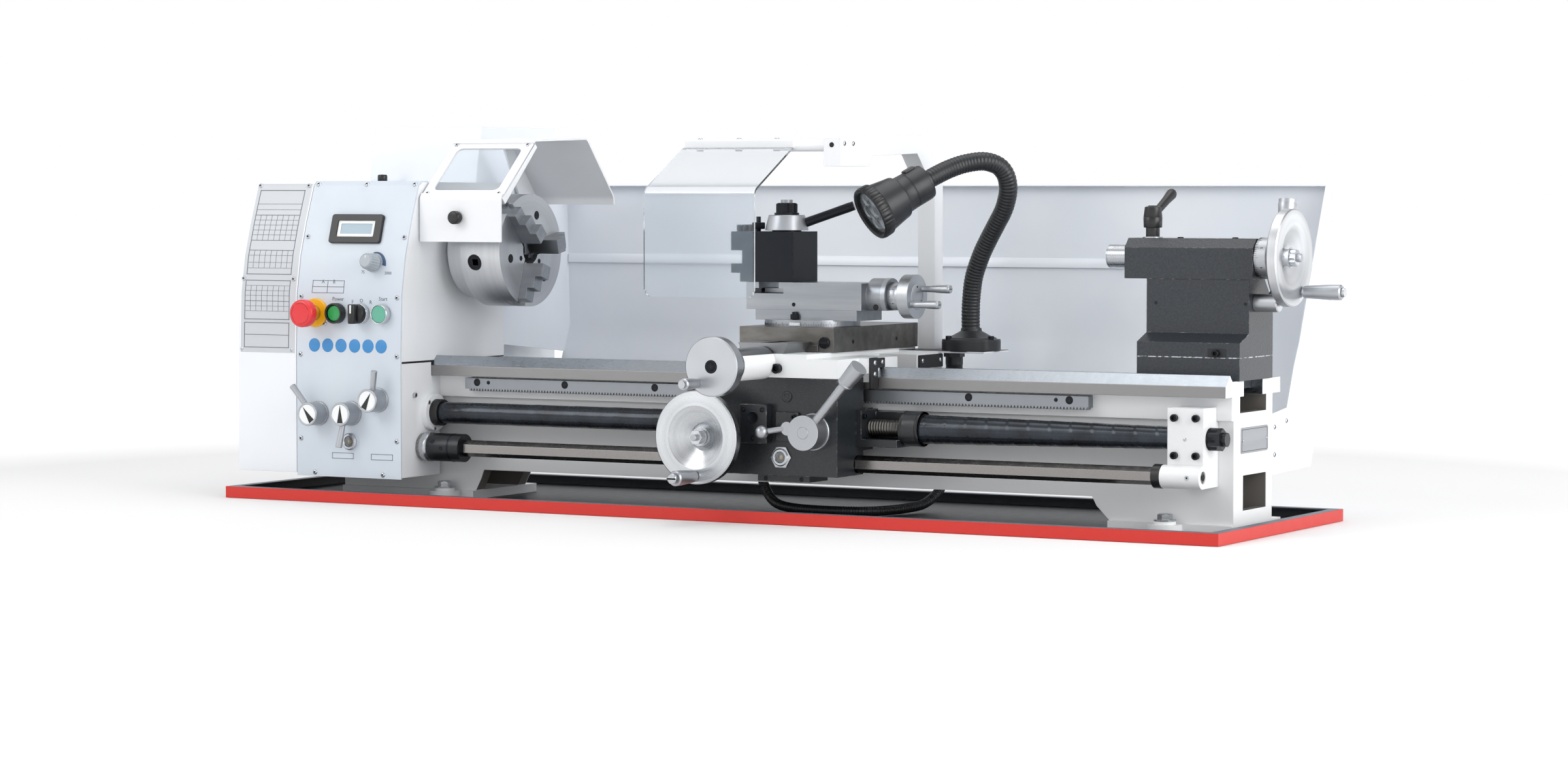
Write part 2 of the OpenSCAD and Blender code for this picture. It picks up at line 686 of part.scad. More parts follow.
module gear_cover() {
  wall = 2.5;
  color(white) difference() {
    along_x([cover_x[0], cover_x[1]]) polygon(concat(front_line(0, 38), [[house_f - 2, head_top - 1], [house_f - 2, 38]]));
    along_x([cover_x[0] + wall, cover_x[1] + 1]) polygon(concat(front_line(wall, 38 + wall),
      [[house_f + 1, head_top - 1 - wall], [house_f + 1, 38 + wall]]));
    rod_x([cover_x[0] - 1, cover_x[0] + wall + 1], [axis_y, axis_z], 27);
  }
  // Hinge leaves and knuckle
  color(white) difference() {
    union() {
      rod_z([house_z[0] + 62, head_top - 70], cover_hinge, 5);
      box([cover_x[0], cover_x[0] + wall], [house_f - 3, house_f + 4], [house_z[0] + 62, head_top - 70]);
    }
    rod_z([house_z[0] + 60, head_top - 60], cover_hinge, 2.5 + run);
  }
}

guard_pin = [150, axis_z + 56];
module chuck_guard() {
  y0 = axis_y - 118;
  line = [[y0, axis_z + 13], [y0, axis_z + 76], [-51, axis_z + 153], [85, axis_z + 157], [157, axis_z + 74],
    [157, axis_z + 64]];
  inner = [[154, axis_z + 64], [154, axis_z + 73], [83.6, axis_z + 154], [-49.8, axis_z + 150],
    [y0 + 3, axis_z + 74.7], [y0 + 3, axis_z + 13]];
  color(white) {
    along_x([-477, -341]) polygon(concat(line, inner));
    difference() {
      along_x([-477, -473]) polygon([[157, axis_z + 74], [85, axis_z + 157], [70, axis_z + 150],
        [120, axis_z + 60], [140, axis_z + 42], [160, axis_z + 46]]);
      rod_x([-480, -470], guard_pin, 6 + run);
    }
    rod_y([y0 - 14, y0 + 1], [-413, axis_z + 47], 5);
    rod_y([y0 - 16, y0 - 6], [-413, axis_z + 47], 9.3);
  }
}

module leadscrew() {
  color(steel) {
    rod_x([gear_x[0] - 6, 709], screw_yz, screw_r);
    hex_x([709 + slide, 727], screw_yz, 25);
    rod_x([726, 733], screw_yz, 9);
  }
  color(iron) difference() {
    translate([0, screw_yz[0], screw_yz[1]]) along_x(gear_x) rotate(turn_input) gear_outline(n_input, gear_m);
    rod_x([gear_x[0] - 1, gear_x[1] + 1], screw_yz, screw_r + run);
  }
}

module feed_rod() {
  color(steel) {
    hex_x([-415, 645], rod_yz, rod_af);
    rod_x([face_x + 2, -409], rod_yz, 19.75);
    rod_x([face_x - 11, face_x + 3], rod_yz, 12);
    rod_x([643, 654.7], rod_yz, 15);
    rod_x([654, 707], rod_yz, 8);
  }
}

// Dovetail across the saddle, under the cross slide, grown by a gap
module cross_dovetail(gap) {
  polygon([[car_x - 30 - gap, pad_top - 2], [car_x - 30 - gap, pad_top], [car_x - 38 - gap, pad_top + 14 + gap],
    [car_x + 38 + gap, pad_top + 14 + gap], [car_x + 30 + gap, pad_top], [car_x + 30 + gap, pad_top - 2]]);
}

module saddle() {
  y0 = apron_f;
  color(white) difference() {
    union() {
      box([apron_x[0], apron_x[1]], [y0, bed_f + 7], [way_z - 5, wing_z]);
      box(wing_x, [bed_f - 18, slot_f + 3], [way_z + slide, wing_z]);
      box(wing_x, [bed_f - 5.5, bed_f - seat], [way_z - 12, wing_z]);
      box(wing_x, [slot_r - 4, bed_r + 12], [way_z + slide, wing_z]);
      box(wing_x, [bed_r + seat, bed_r + 12], [rail_z, wing_z]);
      box([car_x - cross_half, car_x + cross_half], [y0, bed_r + 50], [way_z + slide, wing_z]);
      box([car_x - cross_half + 4, car_x + cross_half - 4], [y0, bed_r + 50], [wing_z - 1, pad_top]);
      along_y([y0 + 4, bed_r + 50]) cross_dovetail(0);
      rod_y([y0 - 85, y0], [car_x, cross_z], 21.5);
      rod_y([y0 - 80, y0 + 5], [car_x, cross_z], 17);
    }
    along_x([wing_x[0] - 1, wing_x[1] + 1]) v_way(slide);
    // Front block stands clear of the rail
    box([wing_x[0] - 1, wing_x[1] + 1], [bed_f - seat, web_r], [way_z - 20, way_z + slide]);
    // Channel for the cross-feed screw and its nut
    box([car_x - 9, car_x + 9], [y0 + 12, bed_r + 40], [way_z + 2, pad_top + 20]);
    rod_y([y0 - 86, y0 + 13], [car_x, cross_z], 8 + run);
  }
  // Keeper under the rear rail
  color(iron) box(wing_x, [web_r + 8, bed_r + 12], [rail_z - 9, rail_z - seat]);
}

module apron() {
  back = pad_f - seat;
  color(white) difference() {
    union() {
      box(apron_x, [apron_f, bed_f - 6], [apron_z[0], apron_z[1]]);
      box(apron_x, [bed_f - 7, back], [screw_yz[1] - 30, screw_yz[1] + 25]);
      box([car_x - 10, car_x + 68], [apron_f + 8, bed_f - 20], [apron_z[0] - 9, apron_z[0] + 1]);
    }
    // Hollow, open at the back above and below the leadscrew's housing
    box([apron_x[0] + 14, apron_x[1] - 14], [apron_f + 14, bed_f - 18], [apron_z[0] + 9, apron_z[1] - 8]);
    box([apron_x[0] + 14, apron_x[1] - 14], [bed_f - 19, back + 1], [apron_z[0] + 9, screw_yz[1] - 30]);
    box([apron_x[0] + 14, apron_x[1] - 14], [bed_f - 19, back + 1], [screw_yz[1] + 40, apron_z[1] - 8]);
    rod_x([apron_x[0] - 1, apron_x[1] + 1], screw_yz, screw_r + 1);
    rod_x([apron_x[0] - 1, apron_x[1] + 1], rod_yz, rod_r + 0.6);
    // Room for the rack pinion, and the bores of the shafts
    rod_y([bed_f - 7, back + 1], [pinion_x, pinion_z], pinion_r + 3);
    rod_y([apron_f + 7, bed_f], [pinion_x, pinion_z], 6 + run);
    rod_y([apron_f - 1, apron_f + 15], car_wheel_xz, 8 + run);
    rod_y([apron_f - 1, apron_f + 15], halfnut_xz, 8 + run);
    rod_y([apron_f - 1, apron_f + 15], feed_lever_xz, 5 + run);
  }
  // Bracket and cup that guard the leadscrew on the right
  color(dark) difference() {
    union() {
      box([apron_x[1] + seat, 277], [bed_f - 27, bed_f + 20], [screw_yz[1] - 24, screw_yz[1] - 14]);
      box([apron_x[1] + seat, apron_x[1] + 8], [bed_f - 27, bed_f + 20], [screw_yz[1] - 24, screw_yz[1] + 24]);
      box([apron_x[1] + 1, 277], [bed_f + 14, bed_f + 20], [screw_yz[1] - 24, screw_yz[1] + 20]);
      rod_x([276, 304], screw_yz, 23);
    }
    rod_x([apron_x[1], 305], screw_yz, screw_r + 1);
  }
}

module rack_pinion() {
  color(steel) {
    along_y([pad_f - 14, pad_f - 1]) translate([pinion_x, pinion_z]) rotate(90)
      gear_outline(n_pinion, pinion_m);
    rod_y([apron_f + 8, pad_f - 13], [pinion_x, pinion_z], 6);
    along_y([apron_f + 20, apron_f + 30]) translate([pinion_x, pinion_z]) rotate(turn_big)
      gear_outline(n_big, small_m);
  }
}
wheel_a = atan2(car_wheel_xz[1] - pinion_z, car_wheel_xz[0] - pinion_x);
turn_big = wheel_a;
turn_small = wheel_a + 180 + 180 / n_small;

// A dished handwheel: a flat rim, a conical web and a hub, on an axis along +z
module handwheel(d, rim, depth, hub_r, hub) {
  rotate_extrude() polygon([[0, 0], [hub_r + 4, 0], [d / 2 - rim, depth - 7], [d / 2 - 1.5, depth - 7],
    [d / 2, depth - 5], [d / 2, depth + 5.5], [d / 2 - 1.5, depth + 7], [d / 2 - rim, depth + 7],
    [hub_r + 1, hub - 8], [hub_r, hub - 8], [hub_r, hub], [0, hub]]);
}
// A solid handwheel with broken edges, on an axis along +z
module flat_wheel(d, h) {
  rotate_extrude() polygon([[0, 0], [d / 2 - 4, 0], [d / 2, 5], [d / 2, h - 1.5], [d / 2 - 1.5, h], [0, h]]);
}
// A turned tapering grip on an axis along +z, bored for its pin
module grip(len, r, pin) {
  rotate_extrude() polygon([[pin + run, 0], [r * 0.72, 0], [r * 0.8, 2], [r, len * 0.7], [r, len - 2],
    [r * 0.85, len], [pin + run, len]]);
}

car_grip_xz = [car_wheel_xz[0] - 1.5, car_wheel_xz[1] - 51];
module carriage_wheel() {
  color(steel) {
    translate([car_wheel_xz[0], apron_f - 20, car_wheel_xz[1]]) rotate([90, 0, 0])
      handwheel(car_wheel_d, 20, 28, 11, 26);
    rod_y([apron_f - 21, apron_f - seat], car_wheel_xz, 20);
    // Nut and stud
    translate([car_wheel_xz[0], apron_f - 45, car_wheel_xz[1]]) rotate([90, 0, 0])
      cylinder(h = 10, r = 8.5 / cos(30), $fn = 6);
    rod_y([apron_f - 61, apron_f - 54], car_wheel_xz, 4.5);
    rod_y([apron_f - 1, apron_f + 19], car_wheel_xz, 8);
    along_y([apron_f + 18, apron_f + 32]) translate(car_wheel_xz) rotate(turn_small)
      gear_outline(n_small, small_m);
    rod_y([apron_f - 108, apron_f - 45], car_grip_xz, 4);
    rod_y([apron_f - 111, apron_f - 107], car_grip_xz, 6);
  }
}
module carriage_grip() {
  color(dark) translate([car_grip_xz[0], apron_f - 56, car_grip_xz[1]]) rotate([90, 0, 0]) grip(50, 10, 4);
}

module halfnut_lever() {
  p = [halfnut_xz[0], apron_f - 22, halfnut_xz[1]];
  color(steel) {
    rod_y([apron_f - 30, apron_f - seat], halfnut_xz, 23);
    rod_y([apron_f - 1, apron_f + 13], halfnut_xz, 8);
    strut(p + [12, 0, 12], p + [62, -6, 66], 6);
  }
  color(dark) strut(p + [61, -6, 65], p + [84, -9, 88], 10, 12);
}

module feed_lever() {
  color(steel) {
    rod_y([apron_f - 14, apron_f - seat], feed_lever_xz, 9);
    rod_y([apron_f - 1, apron_f + 12], feed_lever_xz, 5);
    strut([feed_lever_xz[0] - 4, apron_f - 9, feed_lever_xz[1]],
      [feed_lever_xz[0] - 26, apron_f - 22, feed_lever_xz[1] - 4], 4);
  }
  color(dark) translate([feed_lever_xz[0] - 31, apron_f - 25, feed_lever_xz[1] - 5]) sphere(9);
}

module cross_slide() {
  color(steel) difference() {
    box([car_x - cross_half, car_x + cross_half], cross_y, [pad_top + slide, cross_top]);
    along_y([cross_y[0] - 1, cross_y[1] + 1]) cross_dovetail(slide * 2);
    rod_z([cross_top - 14, cross_top + 1], swivel_xy, 15 + run);
  }
  // Nut of the cross-feed screw, hung under the slide
  color("goldenrod") difference() {
    box([car_x - 8, car_x + 8], [cross_y[0] + 90, cross_y[0] + 122], [way_z + 3, pad_top + 13.9]);
    rod_y([cross_y[0] + 89, cross_y[0] + 123], [car_x, cross_z], 5.5 + run);
  }
}
cross_grip_xz = [car_x - 21, cross_z - 22];
module cross_wheel() {
  color(steel) {
    translate([car_x, apron_f - 110, cross_z]) rotate([90, 0, 0]) flat_wheel(cross_wheel_d, 21);
    rod_y([apron_f - 111, apron_f - 85 - seat], [car_x, cross_z], 24);
    rod_y([apron_f - 86, apron_f + 12], [car_x, cross_z], 8);
    rod_y([apron_f + 11, bed_r + 20], [car_x, cross_z], 5.5);
    rod_y([apron_f - 168, apron_f - 115], cross_grip_xz, 3.5);
    rod_y([apron_f - 170, apron_f - 167], cross_grip_xz, 5);
  }
}
module cross_grip() {
  color(steel) translate([cross_grip_xz[0], apron_f - 131, cross_grip_xz[1]]) rotate([90, 0, 0])
    grip(36, 8, 3.5);
}

// Dovetail along the compound, grown by a gap
module top_dovetail(gap) {
  m = (top_y[0] + top_y[1]) / 2;
  polygon([[m - 16 - gap, base_top - 1], [m - 16 - gap, base_top], [m - 22 - gap, base_top + 12 + gap],
    [m + 22 + gap, base_top + 12 + gap], [m + 16 + gap, base_top], [m + 16 + gap, base_top - 1]]);
}
top_screw_yz = [-47, base_top + 19];
module compound_base() {
  color(steel) {
    rod_z([cross_top + slide, cross_top + 9], swivel_xy, swivel_d / 2);
    rod_z([cross_top - 13, cross_top + 1], swivel_xy, 15);
    box([car_x - 67, car_x + 88], [top_y[0], top_y[1] - 4], [cross_top + 8, base_top]);
    // The dovetail stops short of the right end, to let the screw's bearing pass
    along_x([car_x - 67, car_x + 47]) top_dovetail(0);
    difference() {
      box([car_x + 18, car_x + 32], [-53, -41], [base_top + 11, base_top + 24]);
      rod_x([car_x + 17, car_x + 33], top_screw_yz, 5 + run);
    }
  }
}
module top_slide() {
  color(steel) difference() {
    box(top_x, top_y, [base_top + slide, top_z]);
    along_x([top_x[0] - 1, top_x[1] + 1]) top_dovetail(slide * 2);
    // T-slot for the tool post's bolt
    box([post_xy[0] - 22, post_xy[0] + 9], [top_y[0] - 1, top_y[1] + 1], [top_z - 9, top_z + 1]);
    box([post_xy[0] - 29, post_xy[0] + 16], [top_y[0] - 1, top_y[1] + 1], [top_z - 15, top_z - 8]);
    // Channel for the nut of the top slide's screw
    box([car_x - 9, car_x + 74], [-54, -40], [base_top + 5, base_top + 25]);
    rod_x([car_x + 70, top_x[1] + 1], top_screw_yz, 5 + run);
  }
  color(steel) difference() {
    rod_x([top_x[1], top_x[1] + 28], top_screw_yz, 24);
    rod_x([top_x[1] - 1, top_x[1] + 29], top_screw_yz, 5 + run);
    box([top_x[1] - 1, top_x[1] + 29], top_y, [base_top - 10, base_top + slide]);
  }
  // T-bolt of the tool post
  color(steel) {
    box([post_xy[0] - 26, post_xy[0] + 13], [post_xy[1] - 14, post_xy[1] + 14], [top_z - 14.5, top_z - 8.5]);
    rod_z([top_z - 9, top_z + 111], post_xy, 8);
  }
}
module top_wheel() {
  x = top_x[1] + 28 + seat;
  color(steel) {
    rod_x([x, x + 18], top_screw_yz, 18.5);
    rod_x([x + 17, x + 36], top_screw_yz, 13);
    rod_x([x + 20, x + 36], top_screw_yz, 29.5);
    rod_x([car_x - 8, x + 1], top_screw_yz, 5);
    for (s = [-1, 1]) rod_x([x + 35, x + 78], top_screw_yz + s * [16, 10], 4, 5.2);
  }
}

post_x = [29.5, 91];
post_y = [-80, -13];
module tool_dovetail(gap) {
  polygon([[post_x[0] + 1, -56 - gap], [post_x[0] - 7 - gap, -60 - gap], [post_x[0] - 7 - gap, -32 + gap],
    [post_x[0] + 1, -36 + gap]]);
}
module tool_post() {
  color(dark) difference() {
    union() {
      box(post_x, post_y, [top_z + slide, top_z + post_h]);
      along_z([top_z + slide, top_z + post_h]) tool_dovetail(0);
    }
    rod_z([top_z, top_z + post_h + 1], post_xy, 8 + run);
  }
}
module tool_holder() {
  x = [-5, post_x[0] - seat];
  color(dark) difference() {
    box(x, post_y, [top_z + slide, top_z + post_h]);
    along_z([top_z - 1, top_z + post_h + 1]) tool_dovetail(slide * 2);
    // Slot for the tool's shank, and the step below its lower jaw
    box([x[0] - 1, 12], [post_y[0] - 1, post_y[1] + 1], [top_z + 24.5, top_z + 42.5]);
    box([x[0] - 1, 9], [post_y[0] - 1, post_y[1] + 1], [top_z - 1, top_z + 12]);
  }
  // Clamp screws over the slot, and the height screw with its nut
  color(steel) {
    for (y = [-70, -54, -38, -22]) rod_z([top_z + post_h + slide, top_z + post_h + 9], [3, y], 4);
    rod_z([top_z + post_h + slide, top_z + post_h + 20], [18, -46], 3);
    rod_z([top_z + post_h + 3, top_z + post_h + 12], [18, -46], 8);
  }
}
module clamp_handle() {
  z = top_z + post_h;
  color(steel) difference() {
    union() {
      rod_z([z + 2, z + 22], post_xy, 29, 24.5);
      rod_z([z + slide, z + 3], post_xy, 20);
      rod_z([z + 21, z + 25], post_xy, 16.7);
      translate([post_xy[0], post_xy[1], z + 21]) cylinder(h = 17, r = 12.5 / cos(30), $fn = 6);
    }
    rod_z([z - 1, z + 44], post_xy, 8 + run);
  }
  color(dark) strut([post_xy[0] + 19, post_xy[1] + 7.6, z + 10], [post_xy[0] + 85, post_xy[1] + 34, z + 35], 6.25);
}

module shield_arm() {
  x = [178, 203];
  z = screen_yz[1];
  color(dark) {
    along_x(x) polygon([[bed_r + 43, wing_z + 3 + slide], [bed_r + 68, wing_z + 3 + slide], [bed_r + 68, z - 45],
      [bed_r + 4, z + 16], [screen_yz[0] - 13, z + 9], [screen_yz[0] - 13, z - 27], [screen_yz[0] + 64, z - 27],
      [screen_yz[0] + 76, z - 13], [bed_r - 8, z - 9], [bed_r + 43, z - 62]]);
    rod_x([101, x[0] + 1], screen_yz, 7.5);
  }
}
module clear_shield() {
  y = screen_yz[0];
  z = screen_yz[1];
  color(steel) difference() {
    box([-37, 131], [y - 9, y + 9], [z - 9, z + 9]);
    rod_x([100, 132], screen_yz, 7.5 + run);
  }
  color([0.85, 0.9, 0.92, 0.4]) along_x([-38, 130]) polygon([[y - 9, z - 8], [y - 9, z - 4], [y - 110, z - 60],
    [y - 110, z - 199], [y - 107, z - 199], [y - 107, z - 62]]);
}

module work_lamp() {
  tip = neck[len(neck) - 1];
  color(dark) {
    difference() {
      box([170, 300], [bed_r + 2, bed_r + 77], [wing_z, wing_z + 3]);
      rod_z([wing_z - 1, wing_z + 4], [236, 112], 8);
    }
    rod_z([wing_z + 2, wing_z + 18], [262, 112], 40);
    rod_z([wing_z + 17, wing_z + 24], [262, 112], 34, 15);
    swept_tube(neck, neck_d, 12, [1, 0, 0]);
    strut(tip - 2 * lamp_look, tip + 44 * lamp_look, 24);
    difference() {
      strut(tip + 42 * lamp_look, tip + 90 * lamp_look, 29, 36.5);
      strut(tip + 79 * lamp_look, tip + 92 * lamp_look, 31.5);
    }
    // Gland of the conduit, under the plate
    rod_z([wing_z - 17, wing_z + 1], [236, 112], 12);
  }
}

module tailstock_base() {
  x = [tail_left, tail_right];
  color(white) {
    box(x, [slot_f - 24, slot_r + 23], [way_z + slide, split_z]);
    box([x[0] + 20, x[1] - 20], [slot_f + 1, slot_r - 1], [way_z - 12, way_z + 1]);
  }
  // Clamp plate under the rails, and its bolt
  color(iron) {
    box([tail_x - 30, tail_x + 30], [slot_f - 10, slot_r + 9], [rail_z - 15, rail_z - seat]);
    rod_z([rail_z - 1, way_z - 12.3], [tail_x, axis_y], 6);
  }
}
module tailstock_body() {
  x = [tail_left, tail_right];
  b = [tail_x - 99, tail_x + 79];
  z = split_z + slide;
  color(white) difference() {
    union() {
      along_x(x) polygon([[slot_f - 24, z], [slot_f - 24, z + 19], [axis_y - 25, z + 30], [axis_y - 25, axis_z - 27],
        [axis_y + 25, axis_z - 27], [slot_r + 23, axis_z - 60], [slot_r + 23, z]]);
      along_x(b) polygon([[axis_y - 26, axis_z - 28], [axis_y - 26, axis_z + 12], [axis_y - 14, axis_z + 24],
        [axis_y + 14, axis_z + 24], [axis_y + 26, axis_z + 12], [axis_y + 26, axis_z - 28]]);
    }
    rod_x([b[0] - 1, tail_x + 70], [axis_y, axis_z], quill_d / 2 + run);
    rod_x([tail_x + 69, b[1] + 1], [axis_y, axis_z], 9 + run);
    rod_x([x[1] - 20, x[1] + 1], tail_clamp_yz, 7 + run);
    rod_z([axis_z + quill_d / 2, axis_z + 25], [lock_x, axis_y], 5 + run);
  }
}
module quill() {
  color(steel) difference() {
    rod_x(quill_x, [axis_y, axis_z], quill_d / 2);
    rod_x([quill_x[0] - 1, quill_x[0] + 67], [axis_y, axis_z], 9, 7.4);
    rod_x([quill_x[0] + 71, quill_x[1] - 15], [axis_y, axis_z], 8.5);
    rod_x([quill_x[1] - 16, quill_x[1] + 1], [axis_y, axis_z], 7 + run);
  }
}
tail_grip_yz = [axis_y + 28, axis_z - 44];
module tail_wheel() {
  x = tail_wheel_x;
  color(steel) {
    rod_x([x + seat, x + 16], [axis_y, axis_z], 25);
    rod_x([tail_x + 71, x + 1], [axis_y, axis_z], 9);
    rod_x([tail_x - 35, tail_x + 72], [axis_y, axis_z], 7);
    rod_x([x + 15, x + 26], [axis_y, axis_z], 14);
    translate([x + 22, axis_y, axis_z]) rotate([0, 90, 0]) handwheel(tail_wheel_d, 20, 17, 11, 20);
    hex_x([x + 41, x + 50], [axis_y, axis_z], 19);
    rod_x([x + 38, x + 102], tail_grip_yz, 4);
    rod_x([x + 101, x + 104], tail_grip_yz, 6);
  }
}
module tail_grip() {
  color(dark) translate([tail_wheel_x + 48, tail_grip_yz[0], tail_grip_yz[1]]) rotate([0, 90, 0])
    grip(52, 10, 4);
}
module quill_lock() {
  color(steel) {
    rod_z([axis_z + quill_d / 2 + seat, axis_z + 25], [lock_x, axis_y], 5);
    rod_z([axis_z + 24 + slide, axis_z + 39], [lock_x, axis_y], 9);
    rod_z([axis_z + 38, axis_z + 66], [lock_x, axis_y], 12.5);
    strut([lock_x, axis_y + 8, axis_z + 56], [lock_x, axis_y + 62, axis_z + 82], 5, 7);
  }
}
module tailstock_clamp() {
  hub = [tail_x + 92, tail_clamp_yz[0], tail_clamp_yz[1]];
  color(steel) {
    rod_x([tail_right + seat, tail_right + 31], tail_clamp_yz, 11.5);
    rod_x([tail_right - 19, tail_right + 1], tail_clamp_yz, 7);
    strut(hub, hub + [0, 38, 27], 6);
    translate(hub + [0, 38, 27]) sphere(6);
    strut(hub + [0, 38, 27], hub + [0, 53, 97], 6);
  }
  color(dark) strut(hub + [0, 52, 93], hub + [0, 61, 131], 9, 12);
}

module selector_lever(i) {
  p = lever_xz[i];
  a = lever_turn[i];
  color(dark) {
    rod_y([panel_f - 28, panel_f - seat], p, 16.3, 16);
    rod_y([panel_f - 1, panel_f + 16], p, 6);
    strut([p[0] + 8 * cos(a), panel_f - 17, p[1] + 8 * sin(a)],
      [p[0] + lever_len[i] * cos(a), panel_f - 22, p[1] + lever_len[i] * sin(a)], 3.8, 4.6);
  }
}

module estop_button() {
  color("firebrick") {
    rod_y([button_y - 38, button_y - 22], estop_xz, 19);
    rod_y([button_y - 23, button_y + 14], estop_xz, 10);
  }
}
module push_button(xz, tint) {
  color(tint) {
    rod_y([button_y - 12, button_y - 5], xz, 11);
    rod_y([button_y - 6, button_y + 14], xz, 10);
  }
}
module direction_switch() {
  color(dark) {
    rod_y([button_y - 16, button_y - 2 - seat], direction_xz, 13);
    rod_y([button_y - 3, button_y + 14], direction_xz, 6);
    box([direction_xz[0] - 4, direction_xz[0] + 4], [button_y - 26, button_y - 15],
      [direction_xz[1] - 13.7, direction_xz[1] + 13.7]);
  }
}
module speed_knob() {
  color(dark) on_speed() {
    rod_z([3, 22], [0, 0], 13, 10.5);
    rod_z([-10, 4], [0, 0], 4);
  }
}

chip_tray();
bed();
headstock();
feed_gearbox();
control_panel();
motor();
motor_housing();
splash_guard();
end_bracket();
drive_belt();
screw_covers();
cable_conduit();
spindle();
chuck_body();
chuck_jaw(jaw_a[0]);  // chuck_jaw_1
chuck_jaw(jaw_a[1]);  // chuck_jaw_2
chuck_jaw(jaw_a[2]);  // chuck_jaw_3
chuck_pinion(jaw_a[0]);  // chuck_pinion_1
chuck_pinion(jaw_a[1]);  // chuck_pinion_2
chuck_pinion(jaw_a[2]);  // chuck_pinion_3
motor_pulley();
change_gear();
gear_cover();
chuck_guard();
leadscrew();
feed_rod();
saddle();
apron();
rack_pinion();
carriage_wheel();
carriage_grip();
halfnut_lever();
feed_lever();
cross_slide();
cross_wheel();
cross_grip();
compound_base();
top_slide();
top_wheel();
tool_post();
tool_holder();
clamp_handle();
shield_arm();
clear_shield();
work_lamp();
tailstock_base();
tailstock_body();
quill();
tail_wheel();
tail_grip();
quill_lock();
tailstock_clamp();
selector_lever(0);  // selector_lever_1
selector_lever(1);  // selector_lever_2
selector_lever(2);  // selector_lever_3
estop_button();
push_button(power_xz, "orange");  // power_button
push_button(start_xz, "green");  // start_button
direction_switch();
speed_knob();
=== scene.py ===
# %% [markdown]
# # A bench lathe, dressed for the picture
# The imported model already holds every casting, shaft, wheel and lever at its real size.
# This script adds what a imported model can't carry: paint, ground and turned metal, threads, screws,
# dials, lenses and cables. It could all be sculpted by hand, but a lathe is made of turned and milled
# surfaces, so each of them is a short formula. Lengths are millimetres until a mesh is made.
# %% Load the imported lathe
import math
import bmesh
import bpy
import numpy as np
from mathutils import Matrix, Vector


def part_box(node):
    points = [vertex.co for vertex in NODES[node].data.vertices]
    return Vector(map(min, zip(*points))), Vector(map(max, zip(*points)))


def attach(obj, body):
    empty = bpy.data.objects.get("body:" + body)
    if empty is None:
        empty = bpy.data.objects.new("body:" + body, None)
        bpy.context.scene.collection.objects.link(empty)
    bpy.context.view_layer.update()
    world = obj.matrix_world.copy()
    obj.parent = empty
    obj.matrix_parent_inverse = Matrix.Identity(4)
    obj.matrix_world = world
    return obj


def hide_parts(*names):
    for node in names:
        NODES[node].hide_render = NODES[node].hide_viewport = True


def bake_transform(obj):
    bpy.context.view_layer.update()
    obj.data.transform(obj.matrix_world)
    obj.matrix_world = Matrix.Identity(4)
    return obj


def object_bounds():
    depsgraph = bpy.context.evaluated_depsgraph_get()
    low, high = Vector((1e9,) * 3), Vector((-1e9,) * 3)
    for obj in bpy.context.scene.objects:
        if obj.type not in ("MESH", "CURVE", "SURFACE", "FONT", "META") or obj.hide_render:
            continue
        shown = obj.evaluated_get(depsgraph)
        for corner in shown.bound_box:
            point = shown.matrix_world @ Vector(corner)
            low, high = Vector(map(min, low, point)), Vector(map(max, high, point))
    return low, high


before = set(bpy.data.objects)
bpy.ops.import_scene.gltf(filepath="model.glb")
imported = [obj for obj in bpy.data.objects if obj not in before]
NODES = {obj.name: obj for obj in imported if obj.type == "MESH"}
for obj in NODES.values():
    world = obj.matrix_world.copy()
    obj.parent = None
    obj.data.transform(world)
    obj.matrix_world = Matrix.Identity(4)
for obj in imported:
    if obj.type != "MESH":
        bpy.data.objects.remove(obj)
CAD_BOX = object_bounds()
MM = 0.001


def box_mm(node):
    """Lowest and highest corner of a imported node, in millimetres."""
    low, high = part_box(node)
    return np.array(low) / MM, np.array(high) / MM


print("packed nodes:", len(NODES), "box:", [round(v, 3) for v in CAD_BOX[1] - CAD_BOX[0]])

# %% [markdown]
# ## Places taken from the frame
# A few centre lines place nearly everything: the spindle, the two feed shafts, the saddle and the
# panel on the headstock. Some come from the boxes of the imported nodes, and the others repeat sizes
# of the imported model, so a trim piece sits where the machine's own parts are.
# %% Centre lines and faces
chuck_low, chuck_high = box_mm("chuck_body")
AXIS_Y, AXIS_Z = (chuck_low[1] + chuck_high[1]) / 2, (chuck_low[2] + chuck_high[2]) / 2
CHUCK_FACE = chuck_high[0]
PANEL_HIGH = box_mm("control_panel")[1]
APRON_FRONT = box_mm("apron")[0][1]
CENTRE_HEIGHT = 156
WAY_Z = AXIS_Z - CENTRE_HEIGHT
PANEL_Y = -182
SCREW_YZ = (-107, WAY_Z - 72)
ROD_YZ = (-128, WAY_Z - 119.5)
CARRIAGE_X = 102
print("spindle axis at y", round(AXIS_Y, 1), "z", round(AXIS_Z, 1))

# %% [markdown]
# ## The camera
# A long lens from the front right, just above the ways, keeps the bed's edges almost parallel.
# Its place and its two angles are plain numbers.
# %% Camera
CAMERA_AT = (2.6297, -4.5922, 0.445)
CAMERA_TURN = 29.5
CAMERA_DOWN = 3.05
camera_data = bpy.data.cameras.new("camera")
camera_data.lens = 88.5
camera_data.sensor_width = 36
camera_data.clip_end = 60
camera = bpy.data.objects.new("camera", camera_data)
camera.location = CAMERA_AT
camera.rotation_euler = (math.radians(90 - CAMERA_DOWN), 0, math.radians(CAMERA_TURN))
bpy.context.collection.objects.link(camera)
bpy.context.scene.camera = camera
print("camera", CAMERA_AT, "turned", CAMERA_TURN, "degrees")

# %% [markdown]
# ## Surfaces from grids
# Turned parts, tubes and plates are all grids of points: rows along one parameter, columns round the
# other. `turned` spins a profile, `carried` takes a round section along a path, and `plate` stacks
# outlines into a slab with broken edges. `make` joins several grids into one closed, outward mesh.
# %% Frames of reference


